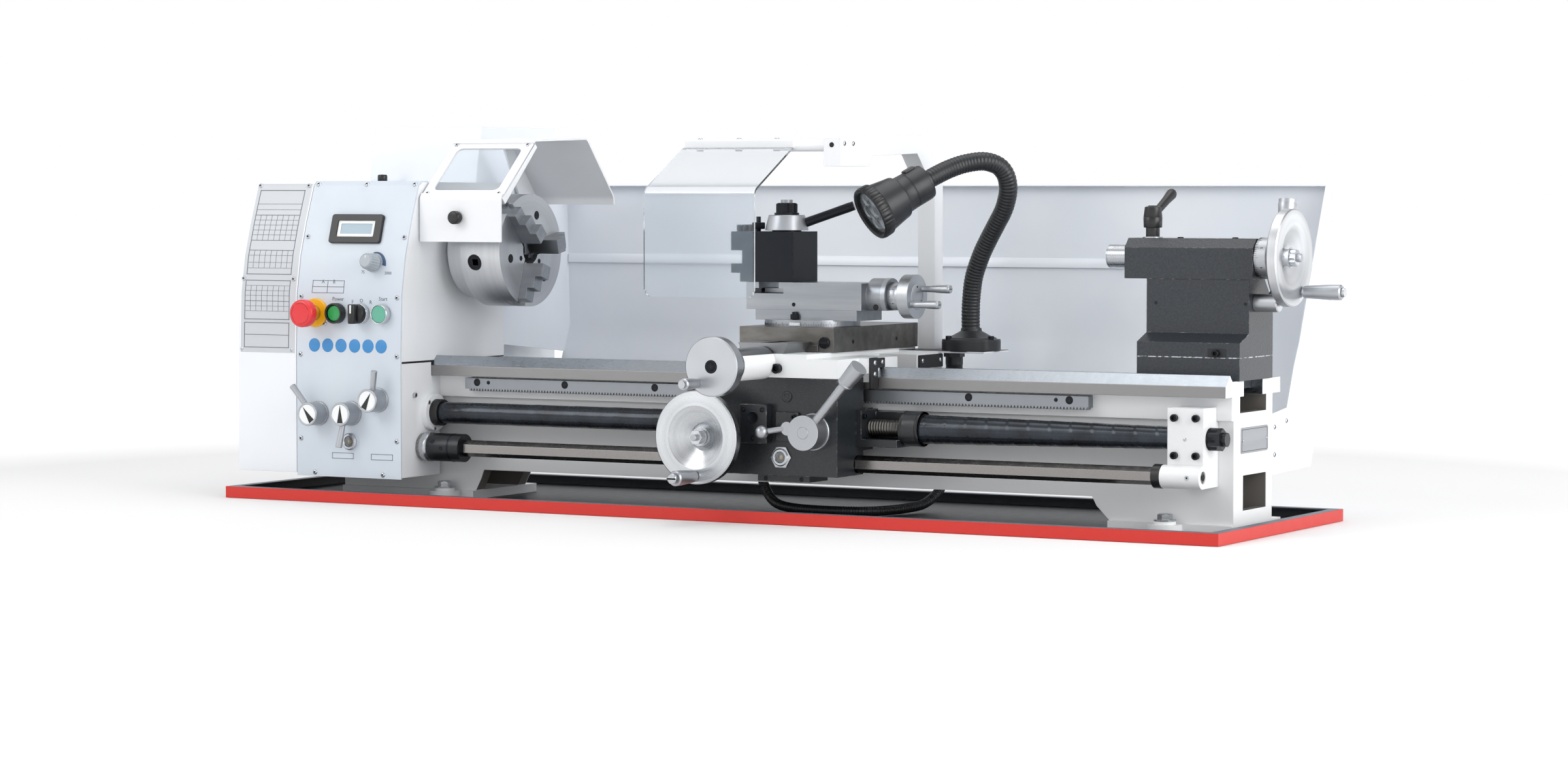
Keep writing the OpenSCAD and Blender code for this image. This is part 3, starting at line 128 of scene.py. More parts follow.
def unit(v):
    """A vector divided by its length."""
    v = np.asarray(v, float)
    return v / np.linalg.norm(v)


def axes(direction, hint=(0, 0, 1)):
    """Three unit vectors u, v, w: w along the direction, v as near the hint as it can be, u = v x w."""
    w = unit(direction)
    hint = np.asarray(hint, float)
    if abs(w @ unit(hint)) > 0.98:
        hint = np.array([1.0, 0, 0]) if abs(w[0]) < 0.9 else np.array([0, 1.0, 0])
    v = unit(hint - (hint @ w) * w)
    return np.cross(v, w), v, w


# %% Turned, carried and stacked surfaces
def turned(profile, at, direction, steps=48):
    """Revolution: point = at + h w + r (u sin t + v cos t) for each (r, h) of the profile."""
    p = np.asarray(profile, float)
    u, v, w = axes(direction)
    t = np.linspace(0, 2 * np.pi, steps, endpoint=False)
    ring = np.sin(t)[:, None] * u + np.cos(t)[:, None] * v
    return np.asarray(at, float) + p[:, 1, None, None] * w + p[:, 0, None, None] * ring[None]


def smooth_path(points, step):
    """A path through the points, resampled every step: each stretch is the cubic whose slopes are half
    the difference of the neighbouring points."""
    p = np.asarray(points, float)
    slope = np.gradient(p, axis=0)
    fine = []
    for a, b, sa, sb in zip(p[:-1], p[1:], slope[:-1], slope[1:]):
        t = np.linspace(0, 1, 24, endpoint=False)[:, None]
        fine.append((2 * t**3 - 3 * t**2 + 1) * a + (t**3 - 2 * t**2 + t) * sa
                    + (3 * t**2 - 2 * t**3) * b + (t**3 - t**2) * sb)
    fine = np.vstack(fine + [p[-1:]])
    run = np.concatenate([[0], np.cumsum(np.linalg.norm(np.diff(fine, axis=0), axis=1))])
    at = np.linspace(0, run[-1], max(2, int(run[-1] / step)))
    return np.stack([np.interp(at, run, fine[:, k]) for k in range(3)], 1), at


def carried(path, radius, steps=16, hint=(1, 0, 0)):
    """A round section carried along a path: point = path + r (n cos t + b sin t). The normals n turn with
    the path, each being the last one with its part along the path's heading taken away."""
    path = np.asarray(path, float)
    heading = np.gradient(path, axis=0)
    heading /= np.linalg.norm(heading, axis=1)[:, None]
    normal = np.empty_like(path)
    last = np.asarray(hint, float)
    for i, h in enumerate(heading):
        last = unit(last - (last @ h) * h)
        normal[i] = last
    binormal = np.cross(heading, normal)
    t = np.linspace(0, 2 * np.pi, steps, endpoint=False)
    r = np.broadcast_to(radius, len(path)).astype(float)[:, None, None]
    return path[:, None] + r * (normal[:, None] * np.cos(t)[:, None] + binormal[:, None] * np.sin(t)[:,
                                                                                                     None])


def rounded(width, height, corner, steps=5):
    """Outline of a rectangle with round corners: four quarter circles, one centred in each corner."""
    corner = max(corner, 0.05)
    t = np.linspace(0, np.pi / 2, steps)
    quarter = np.stack([np.cos(t), np.sin(t)], 1) * corner
    quarter_turn = np.array([[0, -1], [1, 0]])
    out, m = [], np.eye(2)
    for sx, sy in ((1, 1), (-1, 1), (-1, -1), (1, -1)):
        centre = np.array([sx * (width / 2 - corner), sy * (height / 2 - corner)])
        out.append(centre + quarter @ m.T)
        m = quarter_turn @ m
    return np.vstack(out)


def plate(outline, thickness, at, u, v, edge=0.4):
    """A slab: the outline (as a function of its inset) in the plane of u and v, stacked along u x v.
    The rings are the middle, the inset edge, the full outline below and above, and back to the middle."""
    u, v = np.asarray(u, float), np.asarray(v, float)
    w = np.cross(u, v)
    edge = min(edge, thickness / 2)
    rings = [(edge, 0), (0, edge), (0, thickness - edge), (edge, thickness)]
    grid = [np.asarray(at) + outline(i)[:, :1] * u + outline(i)[:, 1:] * v + h * w for i, h in rings]
    first, last = grid[0].mean(0), grid[-1].mean(0)
    count = len(grid[0])
    return np.array([np.tile(first, (count, 1))] + grid + [np.tile(last, (count, 1))])


def block(low, high, corner=1.5, edge=0.5, up=2):
    """A box between two corners, stacked along axis number up, with round upright edges."""
    low, high = np.asarray(low, float), np.asarray(high, float)
    a, b = [k for k in range(3) if k != up]
    u, v = np.eye(3)[a], np.eye(3)[b]
    if np.cross(u, v)[up] < 0:
        u, v, a, b = v, u, b, a
    size = high - low
    at = (low + high) / 2
    at[up] = low[up]
    return plate(lambda i: rounded(size[a] - 2 * i, size[b] - 2 * i, corner), size[up], at, u, v, edge)


def capped(grid):
    """The grid with each end drawn together to the middle of its last section."""
    ends = [np.tile(grid[k].mean(0), (1, grid.shape[1], 1)) for k in (0, -1)]
    return np.concatenate([ends[0], grid, ends[1]])

# %% Meshes from grids
def make(name, grids, body, material, slot=None, smooth=35):
    """One piece from grids of points. Columns close on themselves; doubled points are merged, which
    shuts seams and poles, and then the faces are turned outwards."""
    points, faces, first = [], [], 0
    for grid in grids:
        rows, cols = grid.shape[:2]
        i, j = np.meshgrid(np.arange(rows - 1), np.arange(cols), indexing="ij")
        k = (j + 1) % cols
        quad = np.stack([i * cols + j, i * cols + k, (i + 1) * cols + k, (i + 1) * cols + j], -1)
        points.append(grid.reshape(-1, 3) * MM)
        faces.append(quad.reshape(-1, 4) + first)
        first += rows * cols
    mesh = bpy.data.meshes.new(name)
    mesh.from_pydata(np.vstack(points), [], np.vstack(faces))
    shape = bmesh.new()
    shape.from_mesh(mesh)
    bmesh.ops.remove_doubles(shape, verts=shape.verts, dist=2e-6)
    bmesh.ops.dissolve_degenerate(shape, edges=shape.edges, dist=1e-6)
    bmesh.ops.recalc_face_normals(shape, faces=shape.faces)
    shape.to_mesh(mesh)
    shape.free()
    mesh.shade_smooth()
    mesh.set_sharp_from_angle(angle=math.radians(smooth))
    piece = bpy.data.objects.new(name, mesh)
    bpy.context.collection.objects.link(piece)
    piece.data.materials.append(material)
    if body:
        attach(piece, body)
    return piece


# %% [markdown]
# ## Finishes are small node graphs
# Each finish starts from one Principled shader whose plain numbers sit on its own sockets. Noise on
# Object coordinates, which are metres on the machine, then moves colour, roughness and relief a little,
# so a coat of paint has its orange peel and a ground face its grinding lines at the right scale.
# Image textures would be the other way, but they need unwrapping and can't be sharp at every distance.
# %% A finish in the making


def tone(code):
    """Linear light of a colour written in six hex digits: ((c + 0.055) / 1.055) ** 2.4 for each part."""
    c = np.array([int(code[k:k + 2], 16) for k in (0, 2, 4)]) / 255
    return tuple(float(x) for x in np.where(c <= 0.04045, c / 12.92, ((c + 0.055) / 1.055) ** 2.4)) + (1.0,)


class Finish:
    """A node material in the making. Each method adds a node and returns its output."""

    def __init__(self, name, colour, rough, metal=0.0, **sockets):
        self.material = bpy.data.materials.new(name)
        self.material.use_nodes = True
        self.tree = self.material.node_tree
        self.shader = self.tree.nodes["Principled BSDF"]
        self.put(self.shader, Base_Color=tone(colour), Roughness=rough, Metallic=metal, **sockets)
        self.where = self.add("ShaderNodeTexCoord").outputs["Object"]
        self.relief = None

    def put(self, node, **sockets):
        """Sets plain numbers on a node's sockets and links outputs to them."""
        for name, value in sockets.items():
            socket = node.inputs[name.replace("_", " ")]
            if isinstance(value, bpy.types.NodeSocket):
                self.tree.links.new(value, socket)
            else:
                socket.default_value = value
        return node

    def add(self, kind, out=0, setup=None, **sockets):
        """A node of that kind, with its choices and sockets set; the node itself for the coordinates."""
        node = self.tree.nodes.new(kind)
        for name, value in (setup or {}).items():
            setattr(node, name, value)
        self.put(node, **sockets)
        return node if kind == "ShaderNodeTexCoord" else node.outputs[out]

    def math(self, how, *values):
        """Blender's Math node on one to three values."""
        node = self.tree.nodes.new("ShaderNodeMath")
        node.operation = how
        for socket, value in zip(node.inputs, values):
            if isinstance(value, bpy.types.NodeSocket):
                self.tree.links.new(value, socket)
            else:
                socket.default_value = value
        return node.outputs[0]

    def stretched(self, scale):
        """Object coordinates times a scale for each axis."""
        return self.add("ShaderNodeMapping", Vector=self.where, Scale=scale)

    def noise(self, scale, detail=3.0, stretch=None, at=None):
        """Blender's noise, from 0 to 1, with features about 1 / scale metres across."""
        vector = at if at else self.stretched(stretch) if stretch else self.where
        return self.add("ShaderNodeTexNoise", Vector=vector, Scale=scale, Detail=detail)

    def steps(self, value, *stops):
        """A colour ramp over (position, hex colour or grey level) stops."""
        node = self.tree.nodes.new("ShaderNodeValToRGB")
        self.tree.links.new(value, node.inputs[0])
        points = node.color_ramp.elements
        while len(points) < len(stops):
            points.new(0.5)
        for point, (position, colour) in zip(points, stops):
            point.position = position
            point.color = tone(colour) if isinstance(colour, str) else (colour, colour, colour, 1.0)
        return node.outputs[0]

    def over(self, factor, below, above):
        """Colour above laid over colour below where the factor is 1. Hex codes stand for plain colours."""
        node = self.tree.nodes.new("ShaderNodeMix")
        node.data_type = "RGBA"
        for k, value in ((0, factor), (6, below), (7, above)):
            value = tone(value) if isinstance(value, str) else value
            if isinstance(value, bpy.types.NodeSocket):
                self.tree.links.new(value, node.inputs[k])
            else:
                node.inputs[k].default_value = value
        return node.outputs[2]

    def between(self, value, low, high, soft=0.0002):
        """1 where the value lies between low and high, 0 outside, with soft edges."""
        rise = self.add("ShaderNodeMapRange", Value=value, From_Min=low - soft, From_Max=low + soft)
        fall = self.add("ShaderNodeMapRange", Value=value, From_Min=high - soft, From_Max=high + soft)
        return self.math("SUBTRACT", rise, fall)

    def axis(self, k):
        """One Object coordinate: 0, 1 or 2 for x, y or z, in metres."""
        return self.add("ShaderNodeSeparateXYZ", out=k, Vector=self.where)

    def facing(self, direction):
        """How far the bare surface faces a direction: the dot product of its true normal with it."""
        normal = self.add("ShaderNodeNewGeometry", out="True Normal")
        node = self.tree.nodes.new("ShaderNodeVectorMath")
        node.operation = "DOT_PRODUCT"
        self.tree.links.new(normal, node.inputs[0])
        node.inputs[1].default_value = direction
        return node.outputs["Value"]

    def broken_edges(self, radius):
        """Light catches a casting's edges as if they were rounded to that radius."""
        self.relief = self.add("ShaderNodeBevel", setup={"samples": 4}, Radius=radius)
        self.put(self.shader, Normal=self.relief)
        return self.relief

    def bump(self, height, depth):
        """Relief: the height, from 0 to 1, times the depth in metres, on top of any relief before it."""
        sockets = {"Normal": self.relief} if self.relief else {}
        self.relief = self.add("ShaderNodeBump", Height=height, Distance=depth, Strength=1.0, **sockets)
        self.put(self.shader, Normal=self.relief)

    def set(self, **sockets):
        """Sets sockets of the shader itself."""
        self.put(self.shader, **sockets)
        return self


# %% [markdown]
# ## Paint
# The castings and sheets are sprayed. Sprayed paint has a low, soft orange peel a few millimetres
# across, a slightly uneven gloss, and thins on edges. The bed and the tailstock were painted over
# rough sand castings, so their relief is deeper. One function covers them with different numbers.
# %% Sprayed paint


def paint(name, colour, rough=0.34, peel=0.00005, cast=0.0, edge=0.0008, shade=None, coat=0.25):
    """Base colour drifting towards a second shade with broad noise, gloss with middle noise, and relief of
    orange peel (4 mm) plus, for castings, lumps left by the sand (14 mm and 3 mm)."""
    f = Finish(name, colour, rough, Coat_Weight=coat, Coat_Roughness=0.22)
    if edge:
        f.broken_edges(edge)
    if shade:
        f.set(Base_Color=f.over(f.steps(f.noise(9, 5), (0.35, 0.0), (0.75, 1.0)), colour, shade))
    patches = f.noise(60, 3)
    f.set(Roughness=f.add("ShaderNodeMapRange", Value=patches, To_Min=rough - 0.05, To_Max=rough + 0.09))
    if cast:
        f.bump(f.noise(70, 2), cast)
        f.bump(f.noise(330, 3), cast * 0.3)
    f.bump(f.noise(260, 2), peel)
    return f


WHITE = paint("white_paint", "ebedef", shade="e6e8eb").material
WHITE_SHEET = paint("white_sheet_paint", "e8ecf2", shade="e2e8f0", peel=0.00003, edge=0.0006).material
WHITE_CASTING = paint("white_casting_paint", "e7e8e9", shade="dcdee0", cast=0.0004).material
PANEL = paint("panel_paint", "cdd5dd", rough=0.38, peel=0.00001, edge=0.0004, shade="c6cfd9",
              coat=0.1).material
LAMP_BLACK = paint("lamp_paint", "15181c", rough=0.42, edge=0.0005, coat=0.1).material
print("paints made:", len(bpy.data.materials))

# %% [markdown]
# The apron and the tailstock have a grey hammered enamel. Its cells are flat pools between thin darker
# lines, with pale specks of flattened metal flake, and it is chipped pale along the sharp edges.
# %% Hammered enamel


def hammered(name, colour, deep, cell=420, depth=0.00012):
    """Cells from the distance to the nearest edge of a Voronoi pattern; flakes where fine noise peaks."""
    f = Finish(name, colour, 0.36, Coat_Weight=0.12, Coat_Roughness=0.25)
    soft = f.broken_edges(0.0011)
    cells = f.add("ShaderNodeTexVoronoi", out="Distance", setup={"feature": "SMOOTH_F1"},
                  Vector=f.where, Scale=cell, Smoothness=0.7)
    tint = f.over(f.steps(cells, (0.25, 0.0), (0.7, 1.0)), colour, deep)
    flakes = f.steps(f.noise(1100, 1), (0.68, 0.0), (0.76, 0.3))
    tint = f.over(flakes, tint, "6d747c")
    node = f.tree.nodes.new("ShaderNodeVectorMath")
    node.operation = "DOT_PRODUCT"
    f.tree.links.new(soft, node.inputs[0])
    f.tree.links.new(f.add("ShaderNodeNewGeometry", out="True Normal"), node.inputs[1])
    edge = f.steps(node.outputs["Value"], (0.86, 1.0), (0.955, 0.0))
    worn = f.math("MULTIPLY", edge, f.steps(f.noise(120, 4), (0.52, 0.0), (0.66, 1.0)))
    f.set(Base_Color=f.over(worn, tint, "b9bdc2"))
    f.bump(cells, depth)
    return f


SLATE = hammered("hammered_slate", "252b32", "1c2127", depth=0.0002).material
CHARCOAL = hammered("hammered_charcoal", "1f2327", "181c20", cell=520, depth=0.00008).material
print("hammered enamels made")

# %% [markdown]
# ## Cut metal
# Ground ways, turned wheels and milled slides are bare metal, and what tells them apart is the lay of
# their marks. Marks are noise squeezed across the cut and drawn out along it. On turned work the noise
# reads (radius, height) about the part's own axis, so it makes rings on a face and bands on a rim, and
# the shader's tangent runs round that axis, which draws the bright fans seen on every turned wheel.
# %% Ground, milled and turned metal


def ground(name, colour, rough=0.3, along=0, shade=None, depth=0.000005, pull=26, edge=0.0005, fine=1500):
    """Noise stretched by the pull along one axis moves roughness, tint and a very shallow relief."""
    f = Finish(name, colour, rough, 1.0)
    if edge:
        f.broken_edges(edge)
    squeeze = [1.0, 1.0, 1.0]
    squeeze[along] = 1.0 / pull
    marks = f.noise(fine, 4, stretch=tuple(squeeze))
    broad = f.noise(75, 3, stretch=tuple(squeeze))
    f.set(Roughness=f.add("ShaderNodeMapRange", Value=marks, To_Min=rough - 0.05, To_Max=rough + 0.08))
    if shade:
        f.set(Base_Color=f.over(f.steps(broad, (0.3, 0.0), (0.7, 1.0)), colour, shade))
    f.bump(marks, depth)
    return f


def turned_metal(name, colour, rough, at, direction, fan=0.6, shade=None, depth=0.000003):
    """Rings: noise of (r, h, 0) about the axis, with r = |q - (q.d) d| and h = q.d for q = point - centre.
    The tangent is d x q, which runs round the axis."""
    f = Finish(name, colour, rough, 1.0, Anisotropic=fan)
    f.broken_edges(0.0004)
    d = tuple(float(x) for x in unit(direction))
    q = f.add("ShaderNodeMapping", setup={"vector_type": "TEXTURE"}, Vector=f.where,
              Location=tuple(float(x) * MM for x in at))

    def vector(how, a, b=None, out="Vector", scale=None):
        node = f.tree.nodes.new("ShaderNodeVectorMath")
        node.operation = how
        for socket, value in zip(node.inputs, (a, b)):
            if isinstance(value, bpy.types.NodeSocket):
                f.tree.links.new(value, socket)
            elif value is not None:
                socket.default_value = value
        if scale is not None:
            f.tree.links.new(scale, node.inputs["Scale"])
        return node.outputs[out]

    height = vector("DOT_PRODUCT", q, d, out="Value")
    along = vector("SCALE", d, scale=height)
    radius = vector("LENGTH", vector("SUBTRACT", q, along), out="Value")
    rings = f.add("ShaderNodeCombineXYZ", X=radius, Y=height, Z=0.0)
    marks = f.noise(900, 4, at=rings)
    f.set(Roughness=f.add("ShaderNodeMapRange", Value=marks, To_Min=rough - 0.03, To_Max=rough + 0.05))
    if shade:
        f.set(Base_Color=f.over(f.steps(f.noise(120, 2, at=rings), (0.3, 0.0), (0.7, 1.0)), colour, shade))
    f.bump(marks, depth)
    tangent = vector("NORMALIZE", vector("CROSS_PRODUCT", d, q))
    return f.set(Tangent=tangent)


STEEL = ground("ground_steel", "a9aeb4", 0.27, shade="989ea6").material
SLIDE_STEEL = ground("milled_steel", "a0a3a7", 0.34, shade="8f9398", pull=12).material
DARK_STEEL = ground("stained_steel", "7f7d7b", 0.38, shade="66645f", pull=3, fine=900).material
HOLDER_STEEL = ground("blued_steel", "4e5862", 0.38, shade="3f4851", pull=2).material
BRIGHT = ground("bright_steel", "bcbfc3", 0.26, pull=3, edge=0.0002, depth=0.000003).material
SATIN = ground("satin_chrome", "b2b5b9", 0.4, pull=2, fine=2600, edge=0.0004, depth=0.000004).material
CHROME = ground("chrome", "d4d6d9", 0.1, pull=1.5, edge=0.0002, depth=0.000003).material
print("cut metals made")

# %% [markdown]
# ## Blacks, plastics, glass and rubber
# Blackened steel is metal with a thin dark oxide, so it keeps a metal's soft highlight. Plastics have
# a grain far finer than paint. The guard window and the drop shield are clear sheets: each side is a
# real surface, so light passes and the edges gather it.
# %% The rest of the finishes


def plain(name, colour, rough, metal=0.0, grain=900, depth=0.00001, spread=0.08, edge=0.0003, **sockets):
    """One colour with a fine grain in its relief and gloss."""
    f = Finish(name, colour, rough, metal, **sockets)
    if edge:
        f.broken_edges(edge)
    noise = f.noise(grain, 3)
    low, high = max(rough - spread, 0.02), rough + spread
    f.set(Roughness=f.add("ShaderNodeMapRange", Value=noise, To_Min=low, To_Max=high))
    f.bump(noise, depth)
    return f


INK = plain("grey_ink", "6d737b", 0.5).material
OXIDE = plain("black_oxide", "24262a", 0.33, 0.85, 500, spread=0.12).material
BLACK = plain("black_plastic", "141517", 0.36).material
RUBBER = plain("black_rubber", "17181a", 0.6, depth=0.00003).material
# Near-black finish used as painted shade: discs and plates where holes, sockets, slots, louvres and
# sight-glass wells would be dark. It also colours the real dark seam of the headstock.
SHADE_AND_SEAM_FINISH = plain("painted_shade_and_seam", "0b0b0c", 0.7, edge=0).material
GREY_PLASTIC = plain("grey_plastic", "9aa1a8", 0.42).material
RED_PLASTIC = plain("red_plastic", "d92c31", 0.34, Coat_Weight=0.12).material
YELLOW_PLASTIC = plain("yellow_plastic", "efb30a", 0.4).material
GREEN_LENS = plain("green_lens", "1c9a4c", 0.3, Coat_Weight=0.2).material
TEAL_PLASTIC = plain("teal_plastic", "62ab93", 0.4).material
WHITE_PLASTIC = plain("white_plastic", "eceeee", 0.42).material
BRASS = plain("brass", "c49b52", 0.28, 1.0, 700).material
CONDUIT = plain("conduit_plastic", "1d1f22", 0.38, depth=0.00002).material
LCD = plain("display_glass", "9fb3bf", 0.3, edge=0).material
CLEAR = plain("clear_sheet", "f4f8fb", 0.05, spread=0.03, edge=0, Transmission_Weight=0.97, IOR=1.3,
              Specular_IOR_Level=0.4).material
LENS = plain("lamp_lens", "eef3f6", 0.04, spread=0.02, edge=0, Transmission_Weight=0.9, IOR=1.45).material
# The finish and the material slot of the commonest small parts, as pairs.
DARK_IRON, CHROMED, SATINED = (OXIDE, "blackened_steel"), (BRIGHT, "chrome_steel"), (SATIN, "chrome_steel")
MOULDED, SHADE_AND_SEAM = (BLACK, "black_plastic"), (SHADE_AND_SEAM_FINISH, "black_plastic")
print("finishes made:", len(bpy.data.materials))
# %% [markdown]
# ## The lamp's cable
# The lamp on the carriage is fed through a ribbed conduit 13.6 mm thick. It leaves a gland in the
# lamp's plate, drops to the tray, loops forward under the bed, runs along inside it and climbs into
# the headstock, so it goes back into the machine and has no plug of its own. A curve with a bevel would
# do for a smooth lead, but corrugation needs real rings, so it is a tube on the route's own points.
# %% Ribbed tubes


def ribbed(path, across, deepest, pitch, steps=16):
    """A tube whose radius falls from across / 2 by the depth in each groove: depth times the fourth power
    of the sine of pi s / pitch, for s the distance along the path."""
    run = np.concatenate([[0], np.cumsum(np.linalg.norm(np.diff(path, axis=0), axis=1))])
    radius = across / 2 - deepest * np.sin(np.pi * run / pitch) ** 4
    body = carried(path, radius, steps)
    ends = [np.tile(path[k], (1, steps, 1)) for k in (0, -1)]
    return np.concatenate([ends[0], body, ends[1]])


CONDUIT_ROUTE = [
    (236, 112, 200), (236, 112, 170), (236, 109, 130), (237, 104, 90), (236, 94, 55), (233, 75, 30),
    (229, 40, 14), (222, 0, 10), (210, -40, 9), (190, -66, 9), (160, -76, 9), (125, -77, 9),
    (90, -75, 10), (62, -68, 13.5), (42, -57, 22), (27, -47, 38), (14, -41, 58), (-2, -36, 76),
    (-24, -33, 88), (-50, -32, 92), (-110, -32, 92), (-170, -32, 92), (-230, -32, 92), (-290, -32, 92),
    (-350, -32, 92), (-410, -32, 92), (-450, -32, 92), (-482, -31, 97), (-506, -29, 112),
    (-521, -26, 136), (-526, -21, 165), (-526, -20, 200), (-526, -20, 235),
]
route, conduit_run = smooth_path(CONDUIT_ROUTE, 1.0)
conduit = make("conduit_hose", [ribbed(route, 13.6, 0.9, 3.6)], None, CONDUIT, "hose_plastic", smooth=60)
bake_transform(conduit)
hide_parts("cable_conduit")
print("conduit", round(conduit_run[-1]), "mm long")
# %% [markdown]
# ## Several finishes on one casting
# A node such as the bed is one piece of iron, painted here, ground there and left raw inside. Splitting
# its mesh would be one way. Here one shader reads where a point is and lays the right finish over
# the base one, so the casting stays whole and the borders fall exactly on its edges.
# %% Layered finishes


def layered(name, base, *overlays, edge=0.0008, relief=(), coat=0.2):
    """A base (colour, roughness, metal) with overlays (mask, colour, roughness, metal) laid on in turn."""
    colour, rough, metal = base
    f = Finish(name, colour, rough, metal, Coat_Weight=coat, Coat_Roughness=0.25)
    for mask, over_colour, over_rough, over_metal in overlays:
        where = mask(f)
        colour = f.over(where, colour, over_colour)
        rough = f.add("ShaderNodeMapRange", Value=where, To_Min=rough, To_Max=over_rough)
        metal = f.add("ShaderNodeMapRange", Value=where, To_Min=metal, To_Max=over_metal)
    grain = f.add("ShaderNodeMapRange", Value=f.noise(70, 4), To_Min=-0.05, To_Max=0.08)
    cuts = f.noise(1500, 4, stretch=(0.04, 1.0, 1.0))
    marks = f.math("MULTIPLY", f.math("MULTIPLY", f.math("SUBTRACT", cuts, 0.5), 0.12), metal)
    f.set(Base_Color=colour, Metallic=metal, Roughness=f.math("ADD", f.math("ADD", rough, grain), marks))
    if edge:
        f.broken_edges(edge)
    for scale, depth in relief:
        f.bump(f.noise(scale, 3), depth)
    return f.material


def within(x=None, y=None, z=None):
    """A mask that is 1 inside a box given by ranges in millimetres, any of which may be left out."""
    def mask(f):
        out = None
        for k, span in enumerate((x, y, z)):
            if span:
                part = f.between(f.axis(k), span[0] * MM, span[1] * MM)
                out = part if out is None else f.math("MULTIPLY", out, part)
        return out
    return mask


def either(*masks):
    """The largest of several masks."""
    def mask(f):
        out = masks[0](f)
        for other in masks[1:]:
            out = f.math("MAXIMUM", out, other(f))
        return out
    return mask


def facing(direction, low=0.7):
    """A mask that is 1 where the surface faces a direction."""
    return lambda f: f.steps(f.facing(direction), (low - 0.01, 0.0), (low + 0.01, 1.0))


def both(*masks):
    """The product of several masks."""
    def mask(f):
        out = masks[0](f)
        for other in masks[1:]:
            out = f.math("MULTIPLY", out, other(f))
        return out
    return mask


# %% [markdown]
# The tray is folded red sheet with a bare blue-grey lip and a dark, coarse floor that hides chips.
# The bed is white outside, ground on the ways and on the rack that is screwed under them, and left
# as rough iron inside.
# %% Finishes of the tray, the bed and the other mixed nodes
FAR = 2000
PAD_TOP = 223.2
TRAY_X, TRAY_Y = 764.8, 209.8
tray_finish = layered(
    "tray_finish", ("35383c", 0.5, 0.0),
    (within(z=(15.85, FAR)), "52606f", 0.4, 0.0),
    (either(within(x=(-FAR, -TRAY_X)), within(x=(TRAY_X, FAR)), within(y=(-FAR, -TRAY_Y)),
            within(y=(TRAY_Y, FAR)), within(z=(-1, 0.15))), "c9281d", 0.34, 0.0),
    edge=0.0012, relief=((900, 0.00022), (260, 0.00006)), coat=0.05)
RAW = ("6f6b66", 0.8, 0.0)
bed_finish = layered(
    "bed_finish", ("e7e8e9", 0.36, 0.0),
    (within(x=(-FAR, 729.4), y=(-79, 46), z=(15, 176)), *RAW),
    (within(z=(176.3, FAR)), "a6acb3", 0.27, 1.0),
    # The front rail's ground front face is the same steel as the way tops: rougher, and laid darker as
    # painted shade.
    (both(within(y=(-FAR, -106.4), z=(176, 197)), facing((0, -1, 0))), "8d8c8c", 0.4, 1.0),
    (both(within(x=(729.4, FAR), z=(176, FAR)), facing((1, 0, 0))), "e7e8e9", 0.36, 0.0),
    (within(x=(-428, 538), y=(-101, -86.2), z=(155.8, 174.9)), "8d9196", 0.4, 1.0),
    edge=0.001, relief=((200, 0.00004), (70, 0.0001)))
lamp_finish = layered(
    "lamp_finish", ("15181c", 0.42, 0.0),
    (within(x=(168, 301), y=(74, 151), z=(216.5, 219.4)), "e9ebee", 0.34, 0.0), relief=((900, 0.00001),))
guard_finish = layered(
    "guard_finish", ("e9ebee", 0.34, 0.0),
    (within(x=(-430, -396), y=(-160, -135.6), z=(380, 420)), "141517", 0.35, 0.0), relief=((260, 0.00004),))
screw_finish = layered(
    "leadscrew_finish", ("7a7977", 0.3, 1.0),
    (either(within(x=(-FAR, -453)), within(x=(708, FAR))), "202226", 0.36, 0.6), relief=((900, 0.00002),))
rod_finish = layered(
    "feed_rod_finish", ("8d8a88", 0.24, 1.0),
    (either(within(x=(-462, -405)), within(x=(642, 656))), "1d1f23", 0.36, 0.5), relief=((900, 0.00001),))
gear_cover_finish = layered("gear_cover_finish", ("e8ebef", 0.34, 0.0),
                            (both(within(x=(-758, -662), y=(-FAR, -120), z=(207, 447)),
                                  facing((0, -1, 0), 0.5)), "c3c7cb", 0.4, 0.0), relief=((260, 0.00003),))
saddle_finish = layered(
    "saddle_finish", ("e9ebec", 0.36, 0.0),
    (within(z=(PAD_TOP, FAR)), "8b8d90", 0.36, 1.0), relief=((70, 0.0003), (260, 0.00005)))
print("mixed finishes made")

